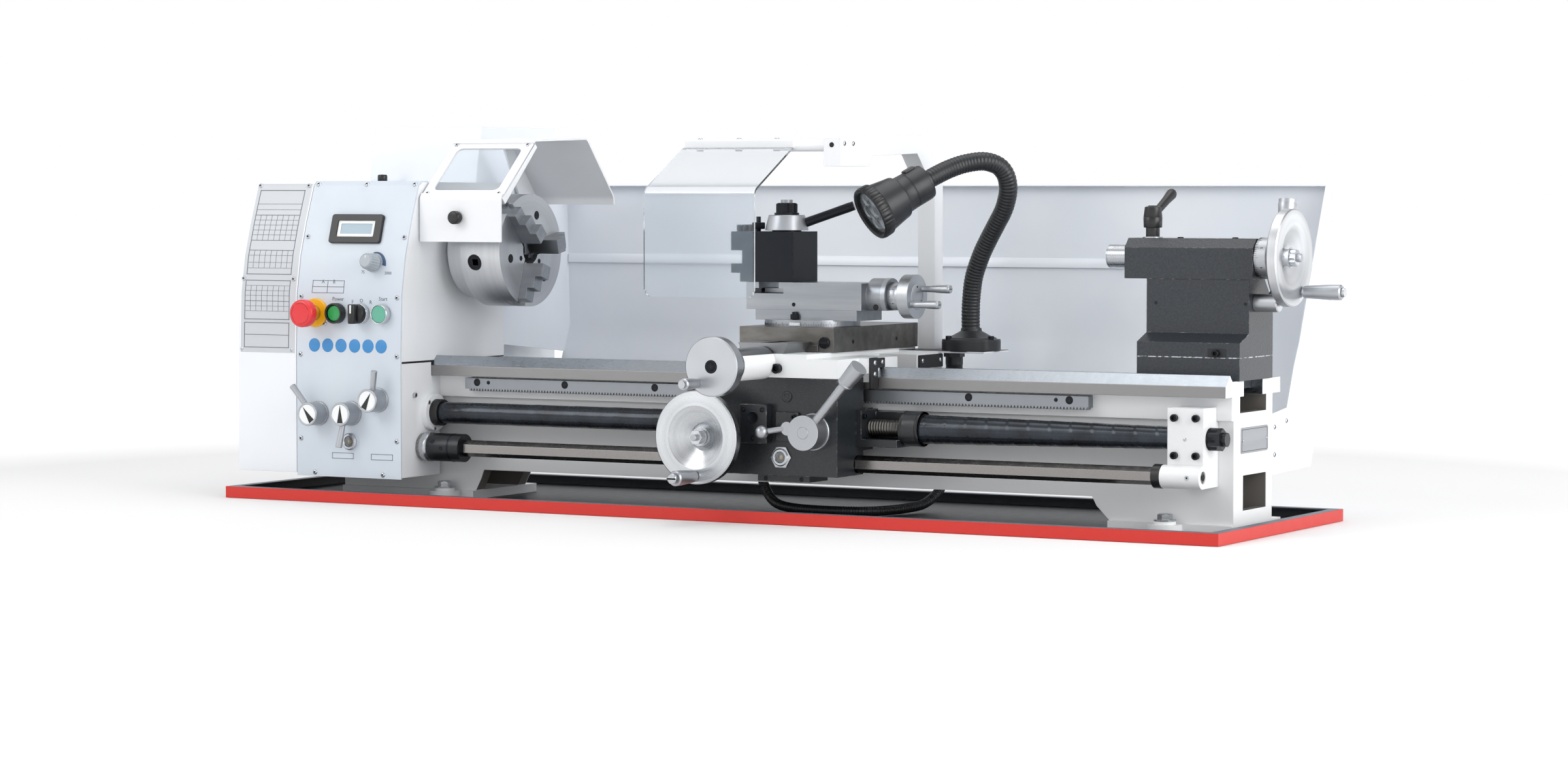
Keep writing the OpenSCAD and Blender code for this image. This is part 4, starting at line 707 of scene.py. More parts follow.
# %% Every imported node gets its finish
carriage_wheel_at = (33, -240, 113)
FINISHES = {
    "chip_tray": tray_finish, "bed": bed_finish, "headstock": WHITE, "feed_gearbox": WHITE,
    "control_panel": PANEL, "motor": LAMP_BLACK, "motor_housing": WHITE_SHEET,
    "splash_guard": WHITE_SHEET, "end_bracket": WHITE_CASTING, "drive_belt": RUBBER,
    "screw_covers": BLACK, "cable_conduit": CONDUIT, "spindle": STEEL,
    "chuck_body": turned_metal("chuck_steel", "c6c8cb", 0.36, (0, AXIS_Y, AXIS_Z), (1, 0, 0), 0.4,
                               shade="bcbec1").material,
    "chuck_jaw_1": SLIDE_STEEL, "chuck_jaw_2": SLIDE_STEEL, "chuck_jaw_3": SLIDE_STEEL,
    "chuck_pinion_1": OXIDE, "chuck_pinion_2": OXIDE, "chuck_pinion_3": OXIDE,
    "motor_pulley": SATIN, "change_gear": SATIN, "gear_cover": gear_cover_finish,
    "chuck_guard": guard_finish, "leadscrew": screw_finish, "feed_rod": rod_finish,
    "saddle": saddle_finish, "apron": CHARCOAL, "shield_arm": WHITE, "work_lamp": lamp_finish,
    "rack_pinion": STEEL,
    "carriage_wheel": turned_metal("carriage_wheel_metal", "cfd1d4", 0.26, carriage_wheel_at, (0, -1, 0),
                                   0.7, shade="c2c5c8").material,
    "carriage_grip": SATIN, "halfnut_lever": SATIN, "feed_lever": SATIN,
    "cross_slide": DARK_STEEL,
    "cross_wheel": turned_metal("cross_wheel_metal", "b9bcc0", 0.32, (CARRIAGE_X, -300, 211), (0, -1, 0),
                                0.5).material,
    "cross_grip": SATIN, "compound_base": SLIDE_STEEL, "top_slide": SLIDE_STEEL,
    "top_wheel": turned_metal("top_wheel_metal", "b4b7bb", 0.34, (200, -47, 297), (1, 0, 0), 0.5).material,
    "tool_post": OXIDE, "tool_holder": HOLDER_STEEL, "clamp_handle": OXIDE, "clear_shield": CLEAR,
    "tailstock_base": SLATE, "tailstock_body": SLATE,
    "quill": turned_metal("quill_metal", "b0b3b7", 0.26, (500, AXIS_Y, AXIS_Z), (1, 0, 0), 0.2).material,
    "tail_wheel": turned_metal("tail_wheel_metal", "cdcfd2", 0.28, (785, AXIS_Y, AXIS_Z), (1, 0, 0),
                               0.7, shade="c0c3c6").material,
    "tail_grip": SATIN, "quill_lock": BLACK, "tailstock_clamp": SATIN,
    "selector_lever_1": SATIN, "selector_lever_2": SATIN, "selector_lever_3": SATIN,
    "estop_button": RED_PLASTIC, "power_button": GREEN_LENS, "start_button": TEAL_PLASTIC,
    "direction_switch": BLACK, "speed_knob": GREY_PLASTIC,
}
for node, finish in FINISHES.items():
    piece = NODES[node]
    piece.data.materials.clear()
    piece.data.materials.append(finish)
    piece.data.polygons.foreach_set("use_smooth", np.ones(len(piece.data.polygons), bool))
    weld = piece.modifiers.new("weld", "WELD")
    weld.merge_threshold = 1e-6
    split = piece.modifiers.new("sharp edges", "EDGE_SPLIT")
    split.split_angle = math.radians(28)
missing = sorted(set(NODES) - set(FINISHES))
assert not missing, missing
print("packed nodes finished:", len(FINISHES))
# %% [markdown]
# ## Screws, nuts and studs
# A lathe is held together by a few kinds of screw: button heads on sheet, socket cap heads on castings,
# slotted screws on grips and hexagon nuts on studs. Each kind is one turned profile. All the screws of
# a group become one piece, and the painted shade in their sockets and slots, dark discs and plates, another,
# so they repaint together.
# %% Screw heads


def head(kind, r):
    """Profile (radius, height) of a screw head that sits on the surface at height 0."""
    if kind == "button":
        t = np.linspace(0.15, 1.2, 6)
        dome = [(r * np.cos(a) ** 0.8, 0.55 * r * np.sin(a)) for a in t]
        return [(0, -0.3), (r, -0.3), (r, 0.02)] + dome + [(0.46 * r, 0.5 * r), (0.46 * r, 0.2 * r),
                                                           (0, 0.2 * r)]
    if kind == "cap":
        h = 1.15 * r
        return [(0, -0.3), (r, -0.3), (r, h - 0.12 * r), (0.9 * r, h), (0.55 * r, h), (0.52 * r, 0.35 * h),
                (0, 0.35 * h)]
    if kind == "sunk":
        return [(0, -0.3), (r, -0.3), (r, 0.12), (0.93 * r, 0.3), (0.55 * r, 0.3), (0.5 * r, 0.05),
                (0, 0.05)]
    return [(0, -0.3), (r, -0.3), (r, 0.25 * r), (0.85 * r, 0.42 * r), (0, 0.5 * r)]


def screws(name, kind, r, places, direction, body, material, slot, steps=20):
    """One piece of screw heads at the places, and one of dark hexagon discs and slot plates painted as the
    shade in their sockets and slots.
    """
    heads, marks = [], []
    for at in places:
        heads.append(turned(head(kind, r), at, direction, steps))
        u, v, w = axes(direction)
        at = np.asarray(at, float)
        # Painted shade: a dark plate lies where a slot would be cut, and a dark hexagon disc lies at the
        # bottom of each socket.
        if kind == "slotted":
            marks.append(plate(lambda i: rounded(1.9 * r - 2 * i, 0.3 * r - 2 * i, 0.1), 0.1 * r,
                               at + w * 0.45 * r, u, v, 0.02))
        else:
            h = {"button": 0.2 * r, "cap": 0.4 * r, "sunk": 0.05}[kind]
            marks.append(turned([(0, h), (0.44 * r, h), (0.44 * r, h + 0.12), (0, h + 0.12)], at, direction,
                                6))
    made = make(name, heads, body, material, slot)
    make(name + "_recess_shade", marks, body, *SHADE_AND_SEAM)
    return made


def hexagon(across, height, at, direction, chamfer=0.8, bore=0.0):
    """A hexagon nut or bolt head across its flats, its corners chamfered by a cone: rings of 48 points
    whose radius is the smaller of the hexagon's and the cone's."""
    u, v, w = axes(direction)
    t = np.linspace(0, 2 * np.pi, 48, endpoint=False)
    flat = across / 2 / np.cos((t + np.pi / 6) % (np.pi / 3) - np.pi / 6)
    ring = np.sin(t)[:, None] * u + np.cos(t)[:, None] * v
    full = across / 2 / np.cos(np.pi / 6)
    rows = [(np.full(48, bore), 0), (flat, 0)]
    for k in np.linspace(0, 1, 4):
        rows.append((np.minimum(flat, full - (full - across * 0.475) * k), height - chamfer * (1 - k)))
    rows.append((np.full(48, bore), height))
    return np.array([np.asarray(at, float) + h * w + r[:, None] * ring for r, h in rows])


def washer(inner, outer, height, at, direction, steps=36):
    """A flat ring with slightly broken edges."""
    c = min(0.25, height / 3)
    return turned([(inner, 0), (outer - c, 0), (outer, c), (outer, height - c), (outer - c, height),
                   (inner, height), (inner, 0)], at, direction, steps)


print("screw kinds: button, cap, sunk, slotted")

# %% [markdown]
# ## The headstock's front
# The control panel is one folded sheet that leans back in five facets. `front` gives the panel's y at
# any height, so everything fixed to it can be placed by x and z alone, and `lean` gives the facet's slope.
# %% Front outline
OUTLINE = np.array([(-182, 0), (-182, WAY_Z + 10), (-179, AXIS_Z - 61), (-170, AXIS_Z - 8),
                    (-156, AXIS_Z + 39), (-137, AXIS_Z + 92), (-130, AXIS_Z + 98)], float)


def front(z):
    """y of the headstock's front at height z: straight between the corners of its outline."""
    return float(np.interp(z, OUTLINE[:, 1], OUTLINE[:, 0]))


def lean(z):
    """Unit vector out of the panel at height z: (0, -dz, dy) of the facet there."""
    k = int(np.clip(np.searchsorted(OUTLINE[:, 1], z) - 1, 0, len(OUTLINE) - 2))
    d = OUTLINE[k + 1] - OUTLINE[k]
    return unit((0, -d[1], d[0]))


def on_panel(x, z):
    """The point of the panel at x and height z."""
    return (x, front(z), z)


PANEL_SCREWS = [(-652, 446), (-568, 446), (-486, 446), (-652, 372), (-486, 372), (-652, 288), (-487, 288),
                (-652, 206), (-486, 206), (-611, 250), (-652, 87), (-487, 87), (-628, 39.5), (-511, 39.5)]
for k, (x, z) in enumerate(PANEL_SCREWS):
    screws(f"panel_screw_{k + 1}", "button", 3.6, [on_panel(x, z)], lean(z), "bed_frame", *CHROMED)
CHART_SCREWS = [(-754, 444), (-668, 444), (-756, 312), (-668, 312), (-756, 211), (-668, 211)]
for k, (x, z) in enumerate(CHART_SCREWS):
    y = front(z) + (1.2 if z < 215 else 0)
    screws(f"chart_screw_{k + 1}", "button", 3.4, [(x, y, z)], lean(z), "gear_cover", *CHROMED)
print("panel screws:", len(PANEL_SCREWS) + len(CHART_SCREWS))

# %% [markdown]
# The chart plate is thin grey sheet screwed to the gear cover, with printed frames round empty fields.
# Its print is a set of thin raised lines that follow the panel's facets.
# %% Strips that follow the facets


def strip(x, z, proud, thick=0.25):
    """A thin plate on the front outline, from x[0] to x[1] and z[0] to z[1]: rows follow the outline's
    corners, and each section is a flat rectangle proud of the sheet."""
    corners = [h for h in OUTLINE[:, 1] if z[0] < h < z[1]]
    heights = [z[0]] + corners + [z[1]]
    grid = []
    for h in heights:
        out = np.array([0, -1, 0.0]) if h < 250 else lean(h - 1)
        base = np.array([0, front(h), h])
        inner, outer = base + out * (proud - thick), base + out * proud
        grid.append([(x[0], *inner[1:]), (x[0], *outer[1:]), (x[1], *outer[1:]), (x[1], *inner[1:])])
    return capped(np.array(grid, float))


def frame_lines(x, z, width, proud=0.35):
    """Four strips round a field."""
    return [strip((x[0], x[0] + width), z, proud), strip((x[1] - width, x[1]), z, proud),
            strip(x, (z[0], z[0] + width), proud), strip(x, (z[1] - width, z[1]), proud)]


chart_lines = []
for z in ((318, 438), (254, 310), (214, 250)):
    chart_lines += frame_lines((-752, -673), z, 0.9)
for z in (402, 366, 352, 280, 232, 410, 418, 395, 388, 381, 374, 335, 327, 345, 295, 302, 288, 273, 266):
    chart_lines.append(strip((-752, -673), (z, z + (0.7 if z in (402, 366, 352, 280, 232) else 0.35)),
                             0.35))
for x in np.linspace(-742, -683, 7):
    for low_z, high_z in ((366, 402), (327, 352), (266, 302)):
        chart_lines.append(strip((x, x + 0.35), (low_z, high_z), 0.35))
make("chart_lines", chart_lines, "gear_cover", INK, "black_plastic")
panel_lines = []
for x, z in (((-634, -579), (293, 311)), ((-598, -561), (60, 68.5)), ((-531, -494), (60, 68.5))):
    panel_lines += frame_lines(x, z, 0.7)
panel_lines += [strip((-608, -607.3), (293, 311), 0.35), strip((-634, -579), (301.7, 302.4), 0.35)]
make("panel_lines", panel_lines, "bed_frame", INK, "black_plastic")
print("lines on the plates:", len(chart_lines) + len(panel_lines))

# %% [markdown]
# The speed readout is a moulded bezel with a pale liquid-crystal window. It lies in the plane of the
# third facet. `set_in` puts a plate there: u runs along x, v up the slope, and u x v points outwards.
# %% Display, discs and the speed scale


def set_in(outline, thickness, x, z, lift=0.0, edge=0.4):
    """A plate on the sloping panel, centred at (x, z) and lifted off it."""
    out = lean(z)
    return plate(outline, thickness, np.array(on_panel(x, z)) + out * (lift - 0.3), (1, 0, 0),
                 np.cross(out, (1, 0, 0)), edge)


def frame_plate(w, h, iw, ih, thickness, x, z, lift, corner=4.0):
    """A rectangular frame: outer and inner outlines joined over its front and back."""
    out = lean(z)
    u, v = np.array([1.0, 0, 0]), np.cross(out, (1, 0, 0))
    at = np.array(on_panel(x, z)) + out * (lift - 0.3)
    inner, outer = rounded(iw, ih, corner / 2), rounded(w, h, corner)
    slim = rounded(w - 1.6, h - 1.6, corner - 0.8)
    rows = [(inner, 0), (outer, 0), (outer, thickness - 0.8), (slim, thickness), (inner, thickness),
            (inner, 0)]
    return np.array([at + p[:, :1] * u + p[:, 1:] * v + k * out for p, k in rows])


DISPLAY = (-569, 383)
make("display_bezel", [frame_plate(88, 42, 64, 24, 5, *DISPLAY, 0)], "bed_frame", *MOULDED)
make("display_rim", [frame_plate(65, 25, 54, 15, 3, *DISPLAY, 0.2, 2)], "bed_frame", WHITE_PLASTIC,
     "white_plastic")
make("display_window", [set_in(lambda i: rounded(56 - 2 * i, 17 - 2 * i, 1), 2.2, *DISPLAY)], "bed_frame",
     LCD, "clear_sheet")
disc_finish = plain("blue_disc", "3c87c3", 0.4).material
discs = []
for x in (-628, -605, -582, -558.5, -535.5, -513):
    discs.append(turned([(0, -0.2), (9.6, -0.2), (9.6, 0.25), (9.3, 0.4), (0, 0.4)], on_panel(x, 219.5),
                        lean(219.5), 40))
make("panel_discs", discs, "bed_frame", disc_finish, "grey_plastic")

# %% [markdown]
# Round the speed knob a dark band widens clockwise like a wedge, from slow to fast. It is a grid of
# (angle, radius): the inner radius is fixed, and the outer grows with the angle.
# %% Speed scale and plain dial figures
KNOB = np.array([-531.0, front(336), 336.0])
out = lean(336)
slope_u, slope_v = np.array([1.0, 0, 0]), np.cross(lean(336), (1, 0, 0))
t = np.radians(np.linspace(100, -12, 40))
inner, outer = 14.2, np.linspace(15.2, 20.5, 40)
ring = np.cos(t)[:, None] * slope_u + np.sin(t)[:, None] * slope_v
low, high = KNOB + inner * ring, KNOB + outer[:, None] * ring
band = np.stack([low + out * 0.1, high + out * 0.1, high + out * 0.45, low + out * 0.45], 1)
make("speed_scale", [capped(band)], "bed_frame",
     plain("scale_print", "3d5577", 0.4).material, "grey_plastic")


def figures(name, text, at, across, up, size, body, material=BLACK, thick=0.3):
    """Generic dial figures: Blender's own typeface made a mesh, its x along `across` and y along `up`."""
    curve = bpy.data.curves.new(name, "FONT")
    curve.body = text
    curve.size = size
    curve.extrude = thick / 2
    curve.align_x, curve.align_y = "CENTER", "CENTER"
    curve.resolution_u = 2
    letter = bpy.data.objects.new(name + "_curve", curve)
    bpy.context.collection.objects.link(letter)
    bpy.context.view_layer.update()
    mesh = bpy.data.meshes.new_from_object(letter.evaluated_get(bpy.context.evaluated_depsgraph_get()))
    bpy.data.objects.remove(letter)
    p = np.zeros(len(mesh.vertices) * 3)
    mesh.vertices.foreach_get("co", p)
    p = p.reshape(-1, 3)
    u, v = unit(across), unit(up)
    p = (np.asarray(at, float) + p[:, :1] * u + p[:, 1:2] * v + p[:, 2:] * np.cross(u, v)) * MM
    mesh.vertices.foreach_set("co", p.ravel())
    shape = bmesh.new()
    shape.from_mesh(mesh)
    bmesh.ops.remove_doubles(shape, verts=shape.verts, dist=1e-6)
    bmesh.ops.recalc_face_normals(shape, faces=shape.faces)
    shape.to_mesh(mesh)
    shape.free()
    piece = bpy.data.objects.new(name, mesh)
    bpy.context.collection.objects.link(piece)
    mesh.materials.clear()
    mesh.materials.append(material)
    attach(piece, body)
    return piece


def panel_text(name, text, x, z, size):
    """Plain text lying on the panel."""
    return figures(name, text, np.array(on_panel(x, z)) + lean(z) * 0.1, (1, 0, 0),
                   np.cross(lean(z), (1, 0, 0)), size, "bed_frame", INK)


panel_text("knob_low", "75", -549, 323, 6)
panel_text("knob_high", "2000", -506, 322, 6)
for word, x, z in (("Power", -588, 285), ("Start", -511, 286), ("F", -563, 281), ("O", -548, 283),
                   ("R", -532, 281), ("A", -616, 309), ("B", -597, 309)):
    panel_text("word_" + word, word, x, z, 7.5)
print("figures set")

# %% [markdown]
# ## Buttons and knobs
# The push buttons sit in collars, the emergency stop is a mushroom on a yellow disc, and the
# speed knob is ribbed so a finger can turn it. Ribs are a ripple on the radius of a turned profile.
# %% Rippled turning


def rippled(profile, at, direction, ribs, deep, steps=None):
    """Revolution whose radius also falls by deep x share x (0.5 + 0.5 cos(ribs t)) ** 3; each profile row
    is (r, h, share)."""
    p = np.asarray(profile, float)
    steps = steps or ribs * 6
    u, v, w = axes(direction)
    t = np.linspace(0, 2 * np.pi, steps, endpoint=False)
    ring = np.sin(t)[:, None] * u + np.cos(t)[:, None] * v
    dip = deep * (0.5 + 0.5 * np.cos(ribs * t)) ** 3
    r = p[:, 0, None] - p[:, 2, None] * dip[None]
    return np.asarray(at, float) + p[:, 1, None, None] * w + r[:, :, None] * ring[None]


BUTTON_Y = PANEL_Y + 2
FORWARD = (0, -1, 0)
make("estop_disc", [turned([(10.6, -0.5), (20.4, -0.5), (20.4, 3.4), (19.6, 4.3), (10.6, 4.3),
                            (10.6, -0.5)], (-626, BUTTON_Y, 265), FORWARD, 72)], "bed_frame",
     YELLOW_PLASTIC, "yellow_plastic")
print("yellow disc made")
# %% Push buttons, the stop and the switch
OCHRE = plain("ochre_plastic", "c8962a", 0.4).material
STOP_AT = np.array([-626, BUTTON_Y, 265.0])
mushroom = [(0, 16), (9.9, 16), (14, 21.4), (17.8, 22.6), (19.2, 24.4), (19.5, 27), (19.5, 34),
            (18.9, 36.4), (17.4, 37.6), (14.5, 37.9), (0, 38)]
make("estop_mushroom", [turned(mushroom, STOP_AT, FORWARD, 72)], "estop", RED_PLASTIC, "red_plastic", 40)
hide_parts("estop_button")
make("estop_stem", [turned([(0, -13), (9.9, -13), (9.9, 20), (0, 20)], STOP_AT, FORWARD, 48)], "estop",
     OCHRE, "yellow_plastic", 40)


def arc(radius, width, start, stop, at, proud):
    """A flat arc facing forwards: a grid of (angle, radius) closed into a thin band."""
    t = np.radians(np.linspace(start, stop, 24))
    ring = np.stack([np.cos(t), np.zeros(24), np.sin(t)], 1)
    rows = [at + r * ring + np.array([0, -h, 0]) for r, h in ((radius, 0), (radius + width, 0),
                                                              (radius + width, proud), (radius, proud))]
    band = np.stack(rows, 1)
    return capped(band)


arcs = [arc(14.2, 0.8, a, a + 96, STOP_AT + (0, -37.7, 0), 0.45) for a in (20, 140, 260)]
make("estop_arcs", arcs, "estop", plain("deep_red_plastic", "b3242a", 0.4).material, "red_plastic")


def collar(name, x, z, material, slot, outer=15.0, high=6.5, bore=11.3):
    """A ring with a rounded front edge round a button hole."""
    t = np.linspace(0, np.pi / 2, 5)
    edge = [(outer - 1.2 + 1.2 * np.cos(a), high - 1.2 + 1.2 * np.sin(a)) for a in t]
    rows = [(bore, -0.4), (outer, -0.4)] + edge + [(bore + 0.7, high), (bore, high - 0.8), (bore, -0.4)]
    return make(name, [turned(rows, (x, PANEL_Y, z), FORWARD, 60)], "bed_frame", material, slot, 40)


collar("power_collar", -588, 265, *MOULDED, 14.4, 11, 11.6)
collar("start_collar", -511, 265, CHROME, "chrome_steel", 13.7, 9, 12.6)
collar("direction_collar", -548, 265, CHROME, "chrome_steel", 14.4, 6, 13.2)
lens_rows = [(0, -13), (9.9, -13), (9.9, 5.1), (11.3, 5.1), (11.3, 9.2), (10.8, 9.9), (9.4, 10.2),
             (0, 10.4)]
make("power_lens", [turned(lens_rows, (-588, BUTTON_Y, 265), FORWARD, 60)], "power", GREEN_LENS,
     "green_plastic", 50)
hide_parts("power_button")
start_rows = [(0, -13), (9.9, -13), (9.9, 5.1), (12.4, 5.1), (12.4, 9.6), (11.9, 10.2), (6, 10.4),
              (0, 10.4)]
make("start_cap", [turned(start_rows, (-511, BUTTON_Y, 265), FORWARD, 60)], "start", TEAL_PLASTIC,
     "green_plastic", 40)
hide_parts("start_button")
switch_at = np.array([-548, BUTTON_Y, 265.0])
switch = [turned([(0, -13), (5.9, -13), (5.9, 2.2), (12.6, 2.2), (13, 3), (12.8, 14.6), (12, 15.6),
                  (0, 16)], switch_at, FORWARD, 60), plate(lambda i: rounded(10 - 2 * i, 27.4 - 2 * i, 2),
                                                           12, switch_at + (0, -14, 0), (1, 0, 0),
                                                           (0, 0, 1), 0.8)]
make("switch_knob", switch, "direction", *MOULDED, 50)
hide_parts("direction_switch")
make("switch_line", [block((-549.2, -206.5, 266), (-546.8, -205.4, 277.5), 0.4, 0.1, up=1)], "direction",
     WHITE_PLASTIC, "white_plastic")
print("push buttons and switch made")

# %% Speed knob
TILT = math.radians(10)
knob_out = np.array([0, -math.cos(TILT), math.sin(TILT)])
knob_at = np.array([-531, PANEL_Y + 10, 336.0])
knob_rows = [(0, -10, 0), (3.9, -10, 0), (3.9, 3, 0), (12.6, 3, 0), (13, 3.6, 0), (12.9, 5, 0),
             (12.4, 6, 1), (11.2, 19, 1), (10.2, 21.2, 0.5), (8.9, 22, 0), (0, 22, 0)]
make("speed_grip", [rippled(knob_rows, knob_at, knob_out, 18, 1.0)], "speed", GREY_PLASTIC, "grey_plastic",
     50)
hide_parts("speed_knob")
u, v = axes(knob_out, (0, 0, 1))[:2]
make("speed_cap", [turned([(0, 21.8), (8.6, 21.8), (8.6, 22.3), (8.2, 22.7), (0, 22.7)], knob_at, knob_out,
                          48)], "speed", plain("pale_grey_plastic", "a9b0b6", 0.4).material, "grey_plastic")
make("speed_pointer", [plate(lambda i: rounded(1.1 - 2 * i, 4 - 2 * i, 0.3), 0.5,
                             knob_at + knob_out * 22.5 + v * 5.6, u, v, 0.1)], "speed", WHITE_PLASTIC,
     "white_plastic")

# %% [markdown]
# ## Selector levers
# Three levers choose the feed. Each is a satin chromed hub, a slim rod screwed into its
# side, and a white face with a long black pointer. The rod is one turned profile that widens slightly
# to a flat end with a broken edge.
# %% Levers


def rod_rows(length, r0, r1):
    """Profile of a rod that widens evenly to a flat end with a small chamfer."""
    return [(0, 0), (r0, 0), (r1, length - 0.6), (r1 - 0.6, length), (0, length)]


def tri_plate(at, a, u, v, length, width, thickness):
    """A slim triangular plate pointing along angle a in the plane of u and v."""
    d, s = math.cos(a) * u + math.sin(a) * v, -math.sin(a) * u + math.cos(a) * v
    corners = np.array([d * length * 0.5, -d * length * 0.5 + s * width / 2,
                        -d * length * 0.5 - s * width / 2])
    w = np.cross(u, v)
    side = np.array(at) + corners
    rows = [np.tile(side.mean(0), (3, 1)), side, side + w * thickness,
            np.tile((side + w * thickness).mean(0), (3, 1))]
    return np.array(rows)


LEVERS = [((-621, WAY_Z - 74), 127, 50, 127), ((-564.5, WAY_Z - 72.5), 262, 48, 90),
          ((-518, WAY_Z - 52.5), 79, 43, 62)]
for k, ((x, z), turn, length, aim) in enumerate(LEVERS, 1):
    body = f"lever_{k}"
    at = np.array([x, PANEL_Y, z], float)
    hub = [(0, -16), (5.9, -16), (5.9, 0.05), (17.3, 0.05), (17.6, 0.5), (17.6, 2.6), (17.2, 3.2),
           (16.2, 3.3), (16.2, 24.5), (16.5, 25.2), (16.5, 27.4), (16, 28), (14.2, 28), (13.8, 27.2),
           (0, 27.2)]
    a = math.radians(turn)
    d = np.array([math.cos(a), -0.13, math.sin(a)])
    start = at + (8 * math.cos(a), -16.5, 8 * math.sin(a))
    piece = make(f"lever_hub_{k}", [turned(hub, at, FORWARD, 72),
                                    turned(rod_rows(length - 8, 3.7, 4.6), start, d, 28)], body, *SATINED,
                 40)
    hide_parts(f"selector_lever_{k}")
    face = at + (0, -27.1, 0)
    make(f"lever_face_{k}", [turned([(0, 0), (13.7, 0), (13.7, 0.3), (0, 0.35)], face, FORWARD, 60)], body,
         WHITE_PLASTIC, "white_plastic")
    make(f"lever_mark_{k}", [tri_plate(face + (0, -0.3, 0), math.radians(aim), np.array([1.0, 0, 0]),
                                       np.array([0, 0, 1.0]), 25, 9.4, 0.35)], body, *MOULDED)
print("levers made:", len(LEVERS))

# %% [markdown]
# The oil level shows in a small window in a turned ring, on the gearbox and again on the apron. The
# well behind its glass is a dark disc, painted shade, with a little brass reflector in the middle.
# %% Sight glasses


def sight_glass(name, at, direction, body, r=12.0, high=4.0):
    """A turned ring with its well, reflector and glass."""
    ring = [(0.62 * r, -0.5), (r, -0.5), (r, 0.6 * high), (0.86 * r, high), (0.66 * r, high),
            (0.62 * r, 0.8 * high), (0.62 * r, -0.5)]
    make(name + "_ring", [turned(ring, at, direction, 60)], body, *CHROMED, 40)
    # The well is a solid dark disc: painted shade behind the glass.
    well = [(0, 0.1), (0.61 * r, 0.1), (0.61 * r, 0.9), (0.5 * r, 0.9), (0.46 * r, 0.3), (0, 0.3)]
    make(name + "_well", [turned(well, at, direction, 48)], body, *SHADE_AND_SEAM, 30)
    eye = [(0, 0.35), (0.26 * r, 0.35), (0.22 * r, 1.0), (0.1 * r, 1.4), (0, 1.4)]
    make(name + "_eye", [turned(eye, at, direction, 32)], body, BRASS, "brass", 30)
    cut = [(0, 0.66 * high), (0.61 * r, 0.6 * high), (0.61 * r, 0.7 * high), (0, 0.78 * high)]
    make(name + "_glass", [turned(cut, at, direction, 48)], body, LENS, "clear_sheet", 30)


sight_glass("gearbox_sight", (-565, PANEL_Y - 3, WAY_Z - 112), FORWARD, "bed_frame")
sight_glass("apron_sight", (132, APRON_FRONT, 87), FORWARD, "carriage")
print("sight glasses made")
# %% [markdown]
# ## The chuck and its guard
# The chuck is turned steel with three stepped jaws, and small dark screws show in its
# face. The guard is one folded white sheet with a window in its sloping face. A boolean could
# cut the window; a frame of quads with a true hole gives the same shape with a cleaner mesh.
# %% Folded sheet


def folded(line, spans, thickness, bend=4.0):
    """Bent sheet: each corner of the (y, z) line becomes a short arc of points, each row is a rectangle
    from the line inwards by the thickness along the mean normal, and spans gives its ends in x."""
    p = np.asarray(line, float)
    spans = np.broadcast_to(np.asarray(spans, float), (len(p), 2))
    points, ends = [p[0]], [spans[0]]
    for a, b, c, span in zip(p[:-2], p[1:-1], p[2:], spans[1:-1]):
        cut = min(bend, np.linalg.norm(b - a) / 2.2, np.linalg.norm(c - b) / 2.2)
        start, stop = b + unit(a - b) * cut, b + unit(c - b) * cut
        for t in np.linspace(0, 1, 5):
            points.append((1 - t) ** 2 * start + 2 * t * (1 - t) * b + t * t * stop)
            ends.append(span)
    points.append(p[-1])
    ends.append(spans[-1])
    points, ends = np.array(points), np.array(ends)
    along = np.gradient(points, axis=0)
    along /= np.linalg.norm(along, axis=1)[:, None]
    inner = points + thickness * np.stack([-along[:, 1], along[:, 0]], 1)
    grid = np.stack([np.column_stack([ends[:, 0], points]), np.column_stack([ends[:, 1], points]),
                     np.column_stack([ends[:, 1], inner]), np.column_stack([ends[:, 0], inner])], 1)
    return capped(grid)


def prism(outline, span, axis=0):
    """A convex flat outline carried straight along an axis: middle, outline, outline, middle."""
    p = np.asarray(outline, float)
    rows = []
    for s, pts in ((span[0], np.tile(p.mean(0), (len(p), 1))), (span[0], p), (span[1], p),
                   (span[1], np.tile(p.mean(0), (len(p), 1)))):
        rows.append(np.insert(pts, axis, s, axis=1))
    return np.array(rows)


GUARD_X = (-477, -341)
GUARD_FRONT = AXIS_Y - 118
low_corner, high_corner = np.array([GUARD_FRONT, AXIS_Z + 76]), np.array([-51, AXIS_Z + 153])
slope = unit(np.append(0, high_corner - low_corner))
slope_out = np.cross((1, 0, 0), slope)
slope_len = np.linalg.norm(high_corner - low_corner)
mid = np.append((GUARD_X[0] + GUARD_X[1]) / 2, (low_corner + high_corner) / 2)


def sloping(outline_size, hole_size, thickness, at, corner=9.0):
    """A frame in the plane of the sloping face, its hole round-cornered."""
    (w, h), (iw, ih) = outline_size, hole_size
    outer, inner = rounded(w, h, 0.4, 8), rounded(iw, ih, corner, 8)
    rows = [(inner, 0), (outer, 0), (outer, thickness), (inner, thickness), (inner, 0)]
    return np.array([at + p[:, :1] * np.array([1.0, 0, 0]) + p[:, 1:] * slope + k * slope_out for p,
                     k in rows])


